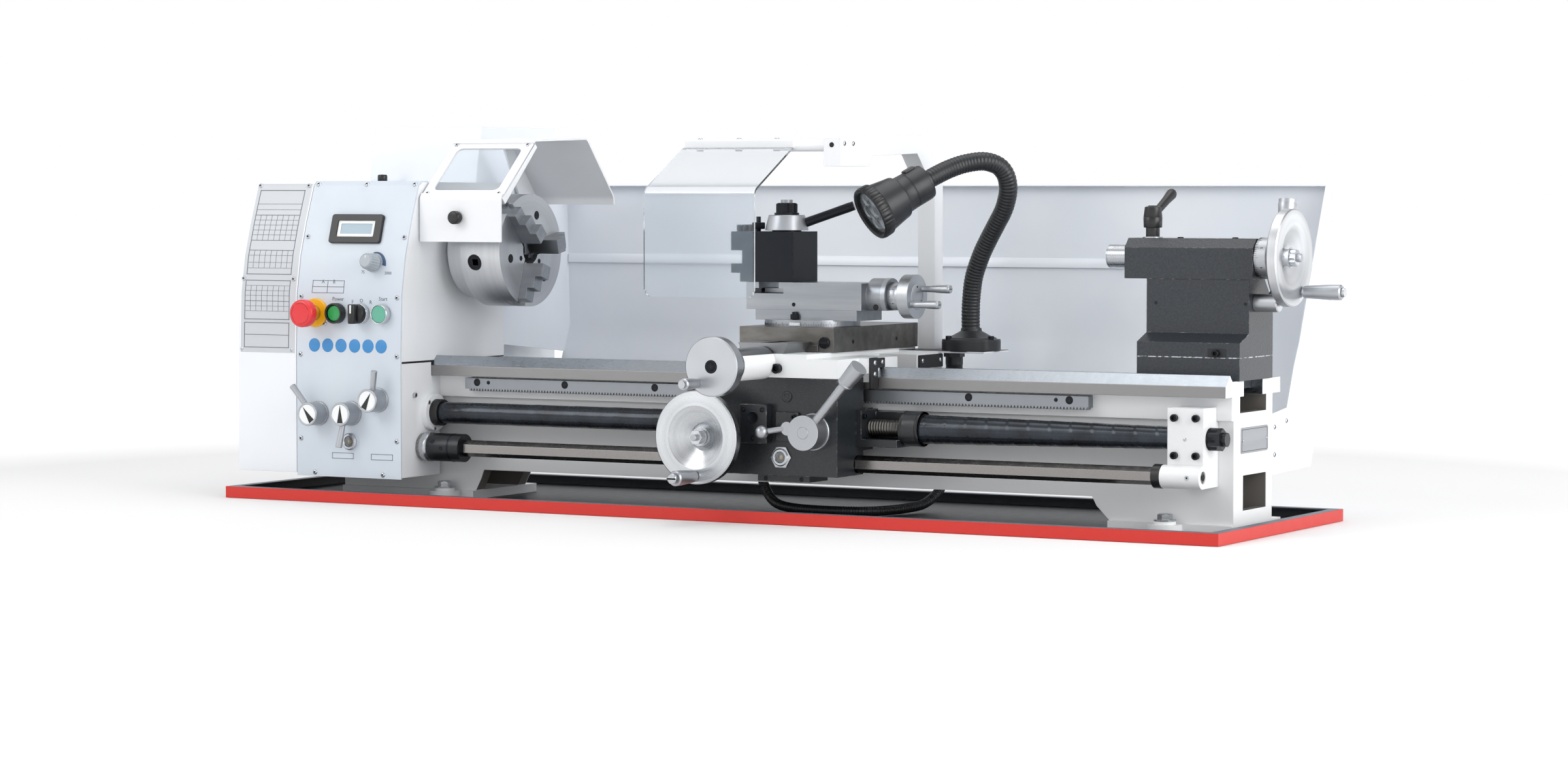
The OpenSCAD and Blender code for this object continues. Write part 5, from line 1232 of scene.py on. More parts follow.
width = GUARD_X[1] - GUARD_X[0]
guard = [folded([(GUARD_FRONT, AXIS_Z + 13), (GUARD_FRONT, AXIS_Z + 74), (GUARD_FRONT + 4, AXIS_Z + 79.6)],
                GUARD_X, 2.5), sloping((width, slope_len - 4), (width - 27, slope_len - 27), 2.5,
                                       mid - slope_out * 2.5),
         folded([tuple(high_corner + (-3.2, -3.4)), tuple(high_corner + (3, 0.2)), (85, AXIS_Z + 157),
                 (157, AXIS_Z + 74), (157, AXIS_Z + 64)], GUARD_X, 2.5),
         prism([(157, AXIS_Z + 74), (85, AXIS_Z + 157), (70, AXIS_Z + 150), (120, AXIS_Z + 60),
                (140, AXIS_Z + 44), (160, AXIS_Z + 48)], (-477, -473.5))]
for k, x in enumerate((GUARD_X[0], GUARD_X[1] - 2.0)):
    guard.append(prism([(GUARD_FRONT + 1, AXIS_Z + 74), (-51, AXIS_Z + 151), (-45, AXIS_Z + 145),
                        (GUARD_FRONT + 9, AXIS_Z + 66)], (x, x + 2.0)))
piece = make("chuck_guard_sheet", guard, "chuck_guard", WHITE, "white_paint", 30)
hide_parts("chuck_guard")
make("guard_window", [sloping((width - 12, slope_len - 12), (0.2, 0.2), 2.0, mid - slope_out * 4.8, 0.05)],
     "chuck_guard", CLEAR, "clear_sheet")
corners = [mid + np.array([sx * (width / 2 - 8), 0, 0]) + slope * sz * (slope_len / 2 - 7)
           for sx in (-1, 1) for sz in (-1, 1)]
screws("guard_screws", "button", 3.2, corners, slope_out, "chuck_guard", *CHROMED)
print("guard slope", round(slope_len, 1), "mm")

# %% Guard knob and chuck screws
guard_knob = [(0, -1), (6, -1), (6, 2.6), (8.2, 3.4), (9.1, 5), (9.3, 8), (9.3, 13.2), (8.6, 14.8),
              (7, 15.5), (0, 15.7)]
make("guard_knob", [turned(guard_knob, (-413, GUARD_FRONT, AXIS_Z + 47), FORWARD, 48)], "chuck_guard",
     *MOULDED, 50)
JAWS = (252, 12, 132)


def station(angle, r, x):
    """A point at a radius and angle round the spindle axis."""
    a = math.radians(angle)
    return (x, AXIS_Y + r * math.cos(a), AXIS_Z + r * math.sin(a))


screws("chuck_screws", "sunk", 6.2, [station(a - 60, 52, CHUCK_FACE) for a in JAWS], (1, 0, 0), "spindle",
       *DARK_IRON, 32)
screws("chuck_centre_screws", "sunk", 3.6, [station(a - 48, 27, CHUCK_FACE) for a in JAWS], (1, 0, 0),
       "spindle", *DARK_IRON, 24)
print("chuck dressed")
# %% [markdown]
# ## Covers that wind round the leadscrew
# Steel ribbon covers hide the leadscrew on both sides of the carriage. A real one closes like a
# telescope when the carriage comes near; here each cover is one spiral of even pitch over its whole length.
# %% Wound covers


def wound(x0, x1, r0, r1, pitch, step, yz, steps=64):
    """Radius = straight taper from r0 to r1 plus step x frac(x / pitch - t / 2 pi), on a grid of x and t."""
    x = np.linspace(x0, x1, int(abs(x1 - x0) / pitch * 18))
    t = np.linspace(0, 2 * np.pi, steps, endpoint=False)
    saw = (x[:, None] / pitch - t[None] / (2 * np.pi)) % 1.0
    saw = np.clip(saw / 0.94, 0, 1) * (saw < 0.94) + (saw >= 0.94) * (1 - (saw - 0.94) / 0.06)
    r = r0 + (r1 - r0) * ((x - x0) / (x1 - x0))[:, None] - step * saw
    grid = np.stack([np.broadcast_to(x[:, None], r.shape), yz[0] + r * np.cos(t), yz[1] + r * np.sin(t)],
                    -1)
    inner = 11.5
    ends = []
    for k in (0, -1):
        ring = np.stack([np.full(steps, x[k]), yz[0] + inner * np.cos(t), yz[1] + inner * np.sin(t)], -1)
        ends.append(ring[None])
    return np.concatenate([ends[1], ends[0], grid, ends[1]])


ribbon = Finish("ribbon_steel", "20262e", 0.26, 0.6, Coat_Weight=0.3, Coat_Roughness=0.15)
scuffs = ribbon.noise(240, 3, stretch=(1, 0.25, 0.25))
ribbon.set(Roughness=ribbon.add("ShaderNodeMapRange", Value=scuffs, To_Min=0.22, To_Max=0.34),
           Base_Color=ribbon.over(ribbon.steps(ribbon.noise(35, 4), (0.35, 0.0), (0.7, 1.0)), "191d23",
                                  "2c333c"))
ribbon.bump(scuffs, 0.000004)
left_cover = make("left_wound_cover", [wound(-470, -12.4, 15.3, 15.5, 64, 0.32, SCREW_YZ)], None,
                  ribbon.material, "black_paint", 30)
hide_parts("screw_covers")
right_cover = make("right_wound_cover", [wound(304.4, 659.6, 19.4, 14.6, 30, 0.4, SCREW_YZ)], None,
                   ribbon.material, "black_paint", 30)
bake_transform(left_cover)
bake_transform(right_cover)
cup = [(15.7, 12), (15.7, -1), (18.2, -1), (18.8, -0.4), (18.8, 10.6), (18.2, 12), (15.7, 12)]
make("left_cover_cup", [turned(cup, (-471, *SCREW_YZ), (1, 0, 0), 60)], "bed_frame", *MOULDED, 40)
print("covers wound")

# %% [markdown]
# Between the bracket and the cup the screw itself shows. A thread is the same idea with a trapezium
# instead of a saw-tooth. It runs the whole length, because the carriage bares other parts of it.
# %% Leadscrew thread and its fittings


def thread(x0, x1, core, crest, pitch, yz, steps=24):
    """Radius between core and crest as a clipped triangle wave of x / pitch - t / 2 pi."""
    x = np.arange(x0, x1, pitch / 5)
    t = np.linspace(0, 2 * np.pi, steps, endpoint=False)
    wave = np.abs(((x[:, None] / pitch - t[None] / (2 * np.pi)) % 1.0) * 2 - 1)
    r = core + (crest - core) * np.clip(wave * 2.2 - 0.6, 0, 1)
    grid = np.stack([np.broadcast_to(x[:, None], r.shape), yz[0] + r * np.cos(t), yz[1] + r * np.sin(t)],
                    -1)
    caps = [np.tile([[[x[k], *yz]]], (1, steps, 1)) for k in (0, -1)]
    return np.concatenate([caps[0], grid, caps[1]])


make("leadscrew_thread", [thread(-450, 655, 10.02, 11.2, 4.0, SCREW_YZ)], "leadscrew", DARK_STEEL,
     "ground_steel", 25)
castle = hexagon(25, 12, (709.3, *SCREW_YZ), (1, 0, 0), 1.2, 11)
make("leadscrew_nut", [castle, washer(10.2, 14.4, 1.6, (709.05, *SCREW_YZ), (1, 0, 0)),
                       turned([(0, 0), (11.6, 0), (11.6, 4.6), (10.8, 5.8), (9, 5.8), (0, 5.8)],
                              (720, *SCREW_YZ), (1, 0, 0), 48)], "leadscrew", *DARK_IRON, 35)
make("leadscrew_end", [turned([(0, 0), (8.8, 0), (8.8, 5.4), (8, 6.6), (2, 6.6), (1.2, 5.4), (0, 5.4)],
                              (726.3, *SCREW_YZ), (1, 0, 0), 40)], "leadscrew", BRIGHT, "ground_steel", 35)
flange_y, flange_z = SCREW_YZ
screws("flange_screws", "sunk", 3.1, [(-470.95, flange_y + 23 * math.cos(a),
                                       flange_z + 23 * math.sin(a)) for a in np.radians((20, 140, 260))],
       (1, 0, 0), "bed_frame", *CHROMED)
rod_y, rod_z = ROD_YZ
make("coupling_ring", [turned([(12, 0), (20.2, 0), (20.6, 0.6), (20.6, 10.4), (20.2, 11), (12, 11),
                               (12, 0)], (-474, rod_y, rod_z), (1, 0, 0), 60)], "feed_rod", *CHROMED, 35)
make("coupling_groove", [turned([(13, 0), (19.95, 0), (20.05, 1.2), (20.05, 2.4), (13, 2.4), (13, 0)],
                                (-428, rod_y, rod_z), (1, 0, 0), 60)], "feed_rod", *DARK_IRON, 35)
across, up = math.cos(math.radians(28)), math.sin(math.radians(28))
screws("coupling_screws", "sunk", 3.4, [(-452, rod_y - 19.75 * across, rod_z + 19.75 * up)],
       (0, -across, up), "feed_rod", *DARK_IRON)
screws("coupling_pin", "sunk", 3.0, [(-437, rod_y - 19.75, rod_z)], (0, -1, 0), "feed_rod", *DARK_IRON)
rod_ring = [(8.5, 0), (15, 0), (15.5, 0.5), (15.5, 11), (15, 11.5), (8.5, 11.5), (8.5, 0)]
make("feed_rod_collar", [turned(rod_ring, (643.1, rod_y, rod_z), (1, 0, 0), 48)], "feed_rod", *MOULDED, 35)
print("leadscrew and feed rod fitted")
# %% [markdown]
# ## Handwheels
# The handwheels are turned from aluminium: a flat rim, a dished web and a hub with a nut. The packed
# wheels already have that profile, so only fine parts are added: the nut's chamfers and washer, the
# stud's end, and the slot in the screw that holds each grip.
# %% Nuts, washers and grip screws
screws("carriage_grip_screw", "slotted", 7.0, [(31.5, -295.6, 62)], FORWARD, "carriage_wheel", *CHROMED)
make("carriage_wheel_nut", [hexagon(15.4, 9.4, (33, -230, 113), FORWARD),
                            washer(5, 12, 1.4, (33, -230.4, 113), FORWARD)], "carriage_wheel", *CHROMED)
stud = [(0, 0), (4.6, 0), (4.6, 5.6), (3.8, 6.4), (0, 6.4)]
make("carriage_wheel_stud", [turned(stud, (33, -240, 113), FORWARD, 32)], "carriage_wheel", *SATINED)
screws("tail_grip_screw", "slotted", 6.0, [(839.6, 11, 309)], (1, 0, 0), "tail_wheel", *CHROMED)
make("tail_wheel_nut", [hexagon(19.4, 9.4, (780, AXIS_Y, AXIS_Z), (1, 0, 0)),
                        washer(6, 13, 1.4, (779.6, AXIS_Y, AXIS_Z), (1, 0, 0))], "tail_wheel", *CHROMED)
make("tail_wheel_stud", [turned([(0, 0), (5.5, 0), (5.5, 5), (4.6, 6), (0, 6)], (789, AXIS_Y, AXIS_Z),
                                (1, 0, 0), 32)], "tail_wheel", *SATINED)
cross_at = (CARRIAGE_X, -316, 211)
make("cross_wheel_washer", [turned([(0, -0.2), (8.8, -0.2), (8.8, 0.5), (8.2, 0.9), (6.2, 0.9), (5.6, 0.3),
                                    (4.8, 0.3), (4.4, 0.9), (0, 0.9)], cross_at, FORWARD, 48)],
     "cross_wheel", *DARK_IRON, 30)
screws("cross_wheel_screw", "sunk", 3.6, [(CARRIAGE_X, -316.8, 211)], FORWARD, "cross_wheel", *DARK_IRON,
       36)
screws("cross_grip_screw", "slotted", 4.6, [(81, -352.4, 189)], FORWARD, "cross_wheel", *CHROMED)
print("handwheels fitted")

# %% [markdown]
# Dials carry fine lines. A ring of thin plates on the collar makes them: each is a small box whose
# place is the collar's angle. The lines are short, with a long one every fifth, and figures every tenth.
# %% Dial graduations


def ticks(name, centre, direction, radius, h0, short, long, count, body, every=5, thick=0.35, deep=0.25):
    """Thin boxes on a cylinder at count equal angles; every fifth is long."""
    u, v, w = axes(direction)
    t = np.arange(count) * 2 * np.pi / count
    ring = np.sin(t)[:, None] * u + np.cos(t)[:, None] * v
    side = np.cos(t)[:, None] * u - np.sin(t)[:, None] * v
    length = np.where(np.arange(count) % every == 0, long, short)[:, None]
    base = np.asarray(centre, float) + w * h0 + ring * (radius - 0.1)
    corners = []
    for s, q in ((-1, 0), (1, 0), (1, 1), (-1, 1)):
        corners.append(base + side * s * thick / 2 + w * length * q)
    low = np.stack(corners, 1)
    high = low + (ring * (deep + 0.1))[:, None]
    middle_low, middle_high = low.mean(1, keepdims=True), high.mean(1, keepdims=True)
    grids = [np.array([np.repeat(middle_low[k], 4, 0), low[k], high[k], np.repeat(middle_high[k], 4, 0)])
             for k in range(count)]
    return make(name, grids, body, *MOULDED)


def dial_figures(name, centre, direction, radius, h, values, size, body):
    """Plain figures round a collar, their tops along the axis."""
    u, v, w = axes(direction)
    for k, value in enumerate(values):
        t = 2 * np.pi * k / len(values)
        out = math.sin(t) * u + math.cos(t) * v
        side = math.cos(t) * u - math.sin(t) * v
        at = np.asarray(centre, float) + w * h + out * (radius + 0.05)
        up = w if np.cross(side, w) @ out > 0 else -w
        figures(f"{name}_{k}", str(value), at, side if np.cross(side, up) @ out > 0 else -side, up, size,
                body)


make("cross_dial", [turned([(9, -0.2), (24.1, -0.2), (24.3, 0.4), (24.3, 13), (23.8, 14), (9, 14)],
                           (CARRIAGE_X, -270.4, 211), FORWARD, 90)], "cross_wheel", *SATINED, 35)
ticks("cross_dial_lines", (CARRIAGE_X, -270.4, 211), FORWARD, 24.3, 0.6, 3.4, 5.6, 80, "cross_wheel")
dial_figures("cross_dial_figure", (CARRIAGE_X, -270.4, 211), FORWARD, 24.3, 9.4, range(0, 8), 4.2,
             "cross_wheel")
print("cross-slide dial cut")

# %% [markdown]
# ## The apron
# The apron is the carriage's front casting. On it sit a feed block with its screws, a slotted plate
# for the feed lever, an oil plug and a nut, with the screws of the bracket that shields the leadscrew.
# %% Apron fittings
FEED_X, FEED_Z = (77, 118), (105, 157)
make("feed_block", [block((FEED_X[0], APRON_FRONT - 15, FEED_Z[0]),
                          (FEED_X[1], APRON_FRONT + 0.4, FEED_Z[1]), 2.5, 0.8, up=1)], "carriage", CHARCOAL,
     "grey_paint")
screws("feed_block_screws", "sunk", 3.8, [(83.5, APRON_FRONT - 15, 150), (111.5, APRON_FRONT - 15, 150),
                                          (97.5, APRON_FRONT - 15, 112)], FORWARD, "carriage", *DARK_IRON)
make("feed_block_bore", [turned([(8.4, -0.2), (8.4, 0.4), (7.6, 0.6), (6.6, 0.2), (0, 0.2),
                                 (0, -0.2)][::-1], (97.5, APRON_FRONT - 15, 139), FORWARD, 40)], "carriage",
     *DARK_IRON, 30)
make("feed_slot_plate", [block((126, APRON_FRONT - 5, 108), (160, APRON_FRONT + 0.4, 147), 3, 0.7, up=1)],
     "carriage", CHARCOAL, "grey_paint")
screws("feed_slot_screws", "cap", 3.0, [(154, APRON_FRONT - 5, 141), (154, APRON_FRONT - 5, 114)], FORWARD,
       "carriage", *DARK_IRON)
make("oil_plug", [turned([(0, -0.3), (7.2, -0.3), (7.2, 1.2), (6.4, 2), (4.2, 2), (3.8, 1), (0, 1)],
                         (141, APRON_FRONT, 167), FORWARD, 40)], "carriage", CHARCOAL, "grey_paint", 30)
make("apron_nut", [hexagon(27, 2.2, (132, APRON_FRONT, 87), FORWARD, 0.5, 8)], "carriage", *CHROMED)
screws("saddle_lock", "cap", 6.6, [(127, APRON_FRONT, 204)], FORWARD, "carriage", *DARK_IRON, 32)
screws("apron_screws", "cap", 4.4, [(8, APRON_FRONT, 198), (54, APRON_FRONT, 199)], FORWARD,
       "carriage", *DARK_IRON)
screws("lug_screws", "sunk", 3.2, [(104, -177, 58), (158, -177, 58)], FORWARD, "carriage", *DARK_IRON)
make("halfnut_boss", [turned([(0, 29.6), (8, 29.6), (8, 30.4), (7.4, 31), (0, 31)], (181, APRON_FRONT, 122),
                             FORWARD, 40), turned([(23.1, 0.1), (24.6, 0.1), (24.6, 3), (24, 3.8),
                                                   (23.1, 3.8)], (181, APRON_FRONT, 122), FORWARD, 60)],
     "halfnut_lever", *SATINED, 35)
make("lever_ball_cap", [turned([(0, -1), (9.9, -1), (10.3, 0), (10.6, 2), (10.2, 2.6), (0, 2.6)],
                               (242.4, -213.1, 187.3), (23, -3, 23), 36)], "halfnut_lever", *SATINED, 35)
screws("bracket_screws", "cap", 3.4, [(224.1, -127, 141), (224.1, -127, 110), (224.1, -98, 110)], (1, 0, 0),
       "carriage", *DARK_IRON)
cup_rows = [(12, 0), (22.6, 0), (23.3, 0.8), (23.3, 4), (22.8, 5), (22.8, 23), (23.4, 24), (23.4, 27),
            (22.8, 28), (19.8, 28), (19.8, 22), (12, 22), (12, 0)]
make("right_cover_cup", [turned(cup_rows, (276, *SCREW_YZ), (1, 0, 0), 72)], "carriage", *MOULDED, 35)
print("apron fitted")

# %% [markdown]
# Rubber wipers keep chips off the ways. Each is a black plate with two small screws, on the ends of
# the saddle's wings.
# %% Wipers
for side, x, d in (("left", -27, -1), ("right", 231, 1)):
    low, high = sorted((x + d * 0.1, x + d * 3.2))
    for name, y0, y1, z0, z1 in (("front", -122, -86, 204, 217), ("rear", 14, 82, 198.2, 216)):
        make(f"wiper_{side}_{name}", [block((low, y0, z0), (high, y1, z1), 1.0, 0.4, up=0)], "carriage",
             RUBBER, "black_plastic")
        screws(f"wiper_screws_{side}_{name}", "button", 3.2,
               [(x + d * 3.2, y0 + 8, (z0 + z1) / 2 + 1), (x + d * 3.2, y1 - 8, (z0 + z1) / 2 + 1)],
               (d, 0, 0), "carriage", *CHROMED)
make("front_wiper_right", [block((231.1, -126, 177.5), (235.4, -107.6, 218), 1.0, 0.4, up=0)], "carriage",
     RUBBER, "black_plastic")
screws("front_wiper_screws", "button", 3.6, [(235.4, -117, 211), (235.4, -117, 196)], (1, 0, 0), "carriage",
       *CHROMED)
print("wipers fitted")
# %% [markdown]
# ## The slides
# The cross slide, the swivel and the top slide are milled steel. What reads at a glance is the big
# slotted gib screw, the swivel's bolt, a little bright zero plate and the graduated collar with its
# two-handled wheel.
# %% Gib screws, swivel bolt and zero plate
cross_low, cross_high = box_mm("cross_slide")
cross_front = cross_low[1]
make("gib_screw", [turned([(0, -0.3), (7.8, -0.3), (7.8, 2.4), (7.2, 3.2), (0, 3.2)],
                          (160, cross_front, 236), FORWARD, 40)], "cross_slide", *DARK_IRON, 35)
# The gib screw's slot is not cut: a thin dark plate on its face is painted shade.
make("gib_slot_shade", [block((153, cross_front - 3.5, 235), (167, cross_front - 3.0, 237), 0.4, 0.1, up=1)],
     "cross_slide", *SHADE_AND_SEAM)
make("cross_wiper", [block((66, cross_front - 2, 224), (151, cross_front - 0.1, 233), 1, 0.4, up=1)],
     "cross_slide", DARK_STEEL, "ground_steel")
screws("gib_side_screws", "sunk", 2.8, [(cross_high[0], y, 236) for y in (-64, 60)], (1, 0, 0),
       "cross_slide", *DARK_IRON)
make("swivel_nut", [hexagon(10, 7, (97, -86.5, 265.4), (0, 0, 1), 0.7),
                    turned([(0, 0), (3.6, 0), (3.6, 9.4), (3, 10), (0, 10)], (97, -86.5, 265.4), (0, 0, 1),
                           24)], "cross_slide", *DARK_IRON)
t = np.linspace(-0.13, 0.13, 9)
zero = []
for r, z in ((64.6, 257.6), (65.2, 257.8), (65.2, 261.8), (64.6, 262)):
    zero.append(np.column_stack([102 + 8 + r * np.sin(t), -46 - r * np.cos(t), np.full(9, z)]))
make("zero_plate", [capped(np.stack(zero, 1))], "compound", *CHROMED)


def arc_ticks(name, centre, radius, z0, short, long, degrees, body, every=5, thick=0.4):
    """Upright lines on a disc's rim, one for each angle from the front."""
    grids = []
    a = np.radians(np.asarray(degrees, float))
    tall = np.where(np.arange(len(a)) % every == 0, long, short)
    for angle, h in zip(a, tall):
        n = np.array([math.sin(angle), -math.cos(angle), 0])
        s = np.array([math.cos(angle), math.sin(angle), 0])
        at = np.array([*centre, z0]) + n * (radius - 0.1)
        grids.append(plate(lambda i: rounded(thick - 2 * i, h - 2 * i, 0.05), 0.35,
                           at + np.array([0, 0, h / 2]), s, (0, 0, 1), 0.05))
    return make(name, grids, body, *MOULDED)


arc_ticks("swivel_lines", (102, -46), 64.5, 257, 3, 5, range(-60, 61, 2), "compound")
top_low, top_high = box_mm("top_slide")
screws("top_gib_screws", "sunk", 2.8, [(94, top_low[1], 285)], FORWARD,
       "top_slide", *DARK_IRON)
# The hole is a thin dark disc on the slide's face: painted shade.
make("top_slide_hole_shade", [turned([(0, 0), (4.2, 0), (4.2, 0.25), (0, 0.25)],
                               (top_high[0] - 6, top_low[1] - 0.05, 283), FORWARD, 32)], "top_slide",
     *SHADE_AND_SEAM)
print("slides dressed")

# %% Top-slide bearing, dial and wheel
TOP_AT = (197, -47, 297)
ring = turned([(6, 27.4), (24.3, 27.4), (24.3, 21), (23.9, 20.6)][::-1] + [(6, 27.9)], TOP_AT, (1, 0, 0),
              72)
ring[..., 2] = np.maximum(ring[..., 2], 278.2)
make("top_bearing_ring", [ring], "top_slide", *SATINED, 30)
ticks("top_bearing_line", TOP_AT, (1, 0, 0), 24.1, 20, 6.5, 6.5, 1, "top_slide")
make("top_dial", [turned([(6, 0), (18.3, 0), (18.6, 0.5), (18.6, 11), (18.2, 12), (6, 12), (6, 0)],
                         (225.4, -47, 297), (1, 0, 0), 80)], "top_wheel", *SATINED, 35)
ticks("top_dial_lines", (225.4, -47, 297), (1, 0, 0), 18.5, 0.4, 3, 5, 60, "top_wheel")
dial_figures("top_dial_figure", (225.4, -47, 297), (1, 0, 0), 18.5, 8.2, range(0, 6), 4, "top_wheel")
TOP_FACE = box_mm("top_wheel")[1][0] - 42
make("top_wheel_plate", [turned([(0, -0.2), (17.4, -0.2), (17.4, 0.3), (17, 0.5), (0, 0.5)],
                                (TOP_FACE, -47, 297), (1, 0, 0), 60)], "top_wheel", *SATINED, 30)
# Three thin dark discs on the plate stand for holes: painted shade.
holes = [(TOP_FACE + 0.45, -47 + 13 * math.cos(a), 297 + 13 * math.sin(a)) for a in np.radians((90, 210,
                                                                                                330))]
make("top_wheel_hole_shade", [turned([(0, 0), (1.5, 0), (1.5, 0.2), (0, 0.2)], p, (1, 0, 0), 20) for p in holes],
     "top_wheel", *SHADE_AND_SEAM)
grip_rows = [(0, -0.4), (3.6, -0.4), (4.3, 0.5), (4.1, 8), (4.6, 16), (5.4, 26), (5.6, 38), (5.5, 40.6),
             (4.8, 41.4), (0, 41.4)]
for k, (y, z) in enumerate(((-63, 287), (-31, 307)), 1):
    make(f"top_grip_{k}", [turned(grip_rows, (TOP_FACE, y, z), (1, 0, 0), 36)], "top_wheel", *SATINED, 40)
    screws(f"top_grip_screw_{k}", "slotted", 3.4, [(TOP_FACE + 40.4, y, z)], (1, 0, 0), "top_wheel",
           *CHROMED)
print("top slide's dial and grips made")

# %% [markdown]
# ## Tool post
# The quick-change post is a blackened block, with a satin cap under a big flanged nut and a stud. Its
# holder hangs on a dovetail, with square-headed clamping screws along the top.
# %% Post, cap and holder
POST = (62, -46)
cap = [(16, 1.6), (28.8, 1.6), (29.25, 2), (29.2, 2.8), (24.8, 21.4), (23.9, 22.3), (16, 22.3)]
make("post_cap", [turned(cap, (*POST, 382.5), (0, 0, 1), 72)], "clamp_handle", *SATINED, 30)
make("post_nut", [hexagon(25.2, 17.4, (*POST, 403.8), (0, 0, 1), 1.6, 8.3),
                  washer(8.3, 16.9, 4, (*POST, 403.8), (0, 0, 1))], "clamp_handle", *DARK_IRON, 30)
make("post_stud", [turned([(0, 0), (7.9, 0), (7.9, 8), (6.8, 9.4), (0, 9.4)], (*POST, 416), (0, 0, 1), 40)],
     "top_slide", *DARK_IRON, 30)
handle_from, handle_to = np.array([81, -38.4, 392.5]), np.array([147, -12, 417.5])
handle = [(0, 0), (6.2, 0), (6.35, 1), (6.35, 18), (6.1, 19), (6.3, 50), (6.5, 70), (6.2, 74), (4.8, 76),
          (0, 76.4)]
make("post_handle", [turned(handle, handle_from - unit(handle_to - handle_from) * 1.5,
                            handle_to - handle_from, 40)], "clamp_handle", *DARK_IRON, 40)
for k, y in enumerate((-70, -54, -38, -22), 1):
    square = [plate(lambda i: rounded(6.6 - 2 * i, 6.6 - 2 * i, 0.8), 8, (3, y, 383.4), (1, 0, 0),
                    (0, 1, 0), 0.8)]
    make(f"holder_screw_{k}", square, "tool_holder", *DARK_IRON)
knurl = [(0, 0, 0), (8, 0, 0), (8.8, 0.8, 1), (8.8, 8, 1), (8, 9, 0), (3.2, 9, 0), (0, 9, 0)]
make("height_nut", [rippled(knurl, (18, -46, 385.6), (0, 0, 1), 30, 0.7)], "tool_holder", *DARK_IRON, 40)
make("height_screw", [thread(0, 19.5, 2.95, 3.3, 1.5, (0, 0), 16)[...,
                                                                  [2, 1, 0]] + np.array([18, -46, 383])],
     "tool_holder", *DARK_IRON)
print("tool post dressed")
# %% [markdown]
# ## The work lamp
# The lamp stands on a white plate behind the saddle: a screwed base, a ribbed gooseneck and a
# two-stage head. Behind the glass sit seven small reflectors. The neck is the same
# ribbed tube as the conduit, but thicker, with shallower rings.
# %% Gooseneck
NECK = [(262, 112, 236), (261, 112, 262), (262, 112, 291), (267, 110, 320), (279, 106, 348),
        (291, 103, 369), (306, 98, 391), (321, 92, 413), (331, 84, 437), (332, 76, 457), (325, 66, 471),
        (311, 51, 477), (292, 34, 474), (277, 17, 467), (266, -2, 458), (256, -18, 449)]
neck_path, neck_run = smooth_path(NECK, 0.8)
make("lamp_neck", [ribbed(neck_path, 25.4, 0.6, 4.6, 28)], "carriage", LAMP_BLACK, "black_paint", 60)
LOOK = unit((-0.52, -0.70, -0.47))
TIP = np.array([256, -18, 449.0])
base = [(0, 0), (39.6, 0), (40.3, 0.8), (40.3, 13), (39, 15.2), (35, 16.4), (33.6, 18.2), (28, 19.6),
        (20, 24), (14.6, 27), (13.9, 31), (0, 31)]
make("lamp_base", [turned(base, (262, 112, 219.3), (0, 0, 1), 80)], "carriage", LAMP_BLACK, "black_paint",
     30)
screws("lamp_base_screws", "cap", 4.2, [(262 + 33.6 * math.cos(a), 112 + 33.6 * math.sin(a),
                                         235.2) for a in np.radians((-130, -10, 110))], (0, 0, 1),
       "carriage", *DARK_IRON)
make("conduit_gland", [turned([(8.6, -12), (10.6, -12), (11.6, -9), (11.6, -1), (8.6, -1), (8.6, -12)],
                              (236, 112, 204), (0, 0, 1), 40),
                       hexagon(25, 6, (236, 112, 210.4), (0, 0, 1), 0.8, 8.6)], "carriage", *MOULDED, 35)
print("neck", round(neck_run[-1]), "mm long")

# %% Lamp head
# Rows are (radius, distance along the look): rear cap, rear stage, flared stage, bezel.
rear = [(0, -8), (13, -8), (14, -7), (14, -2), (22, -1.6), (24.4, 0.4), (24.9, 2), (24.9, 24), (24.4, 24.6),
        (24.4, 25.4), (25, 26), (25.6, 38), (27.6, 41.4), (29.6, 43), (30.6, 50), (35.0, 76)]
make("lamp_head", [turned(rear + [(31.5, 76), (0, 74)], TIP, LOOK, 80)], "carriage", LAMP_BLACK,
     "black_paint", 32)
bezel = [(31, 79, 0), (31, 74, 0), (35.4, 74, 0.3), (37.2, 75.6, 1), (37.6, 86, 1), (36.6, 89.6, 0.3),
         (33.6, 90.4, 0), (31, 88.4, 0), (31, 79, 0)]
make("lamp_bezel", [rippled(bezel, TIP, LOOK, 36, 1.0)], "carriage", *MOULDED, 50)
make("lamp_lens", [turned([(0, 81.5), (30.9, 81.5), (30.9, 83.2), (25, 84.4), (0, 85)], TIP, LOOK, 60)],
     "carriage", LENS, "clear_sheet")
u, v = axes(LOOK)[:2]
cells = [TIP] + [TIP + 19.4 * (math.cos(a) * u + math.sin(a) * v) for a in np.radians(np.arange(0, 360,
                                                                                                60))]
bowl = [(2.4, 75.4), (4.6, 76), (7.4, 78), (9, 80.4), (9.4, 80.8), (9.4, 75), (2.4, 75)]
make("lamp_reflectors", [turned(bowl + bowl[:1], c, LOOK, 32) for c in cells], "carriage", *SATINED, 50)
diode = plain("diode_yellow", "b9b08a", 0.3).material
make("lamp_diodes", [turned([(0, 74.6), (2.3, 74.6), (2, 76.2), (0, 76.8)], c, LOOK, 20) for c in cells],
     "carriage", diode, "yellow_plastic")
make("lamp_well", [turned([(0, 74.2), (30.8, 74.2), (30.8, 74.6), (0, 74.6)], TIP, LOOK, 48)], "carriage",
     LAMP_BLACK, "black_paint")
switch_out = unit(np.array([0, 0, 1.0]) - (np.array([0, 0, 1.0]) @ LOOK) * LOOK)
make("lamp_switch", [plate(lambda i: rounded(11 - 2 * i, 17 - 2 * i, 2), 3.2,
                           TIP + LOOK * 13 + switch_out * 23.8, np.cross(LOOK, switch_out), LOOK, 0.8)],
     "carriage", *MOULDED)
print("lamp head made")

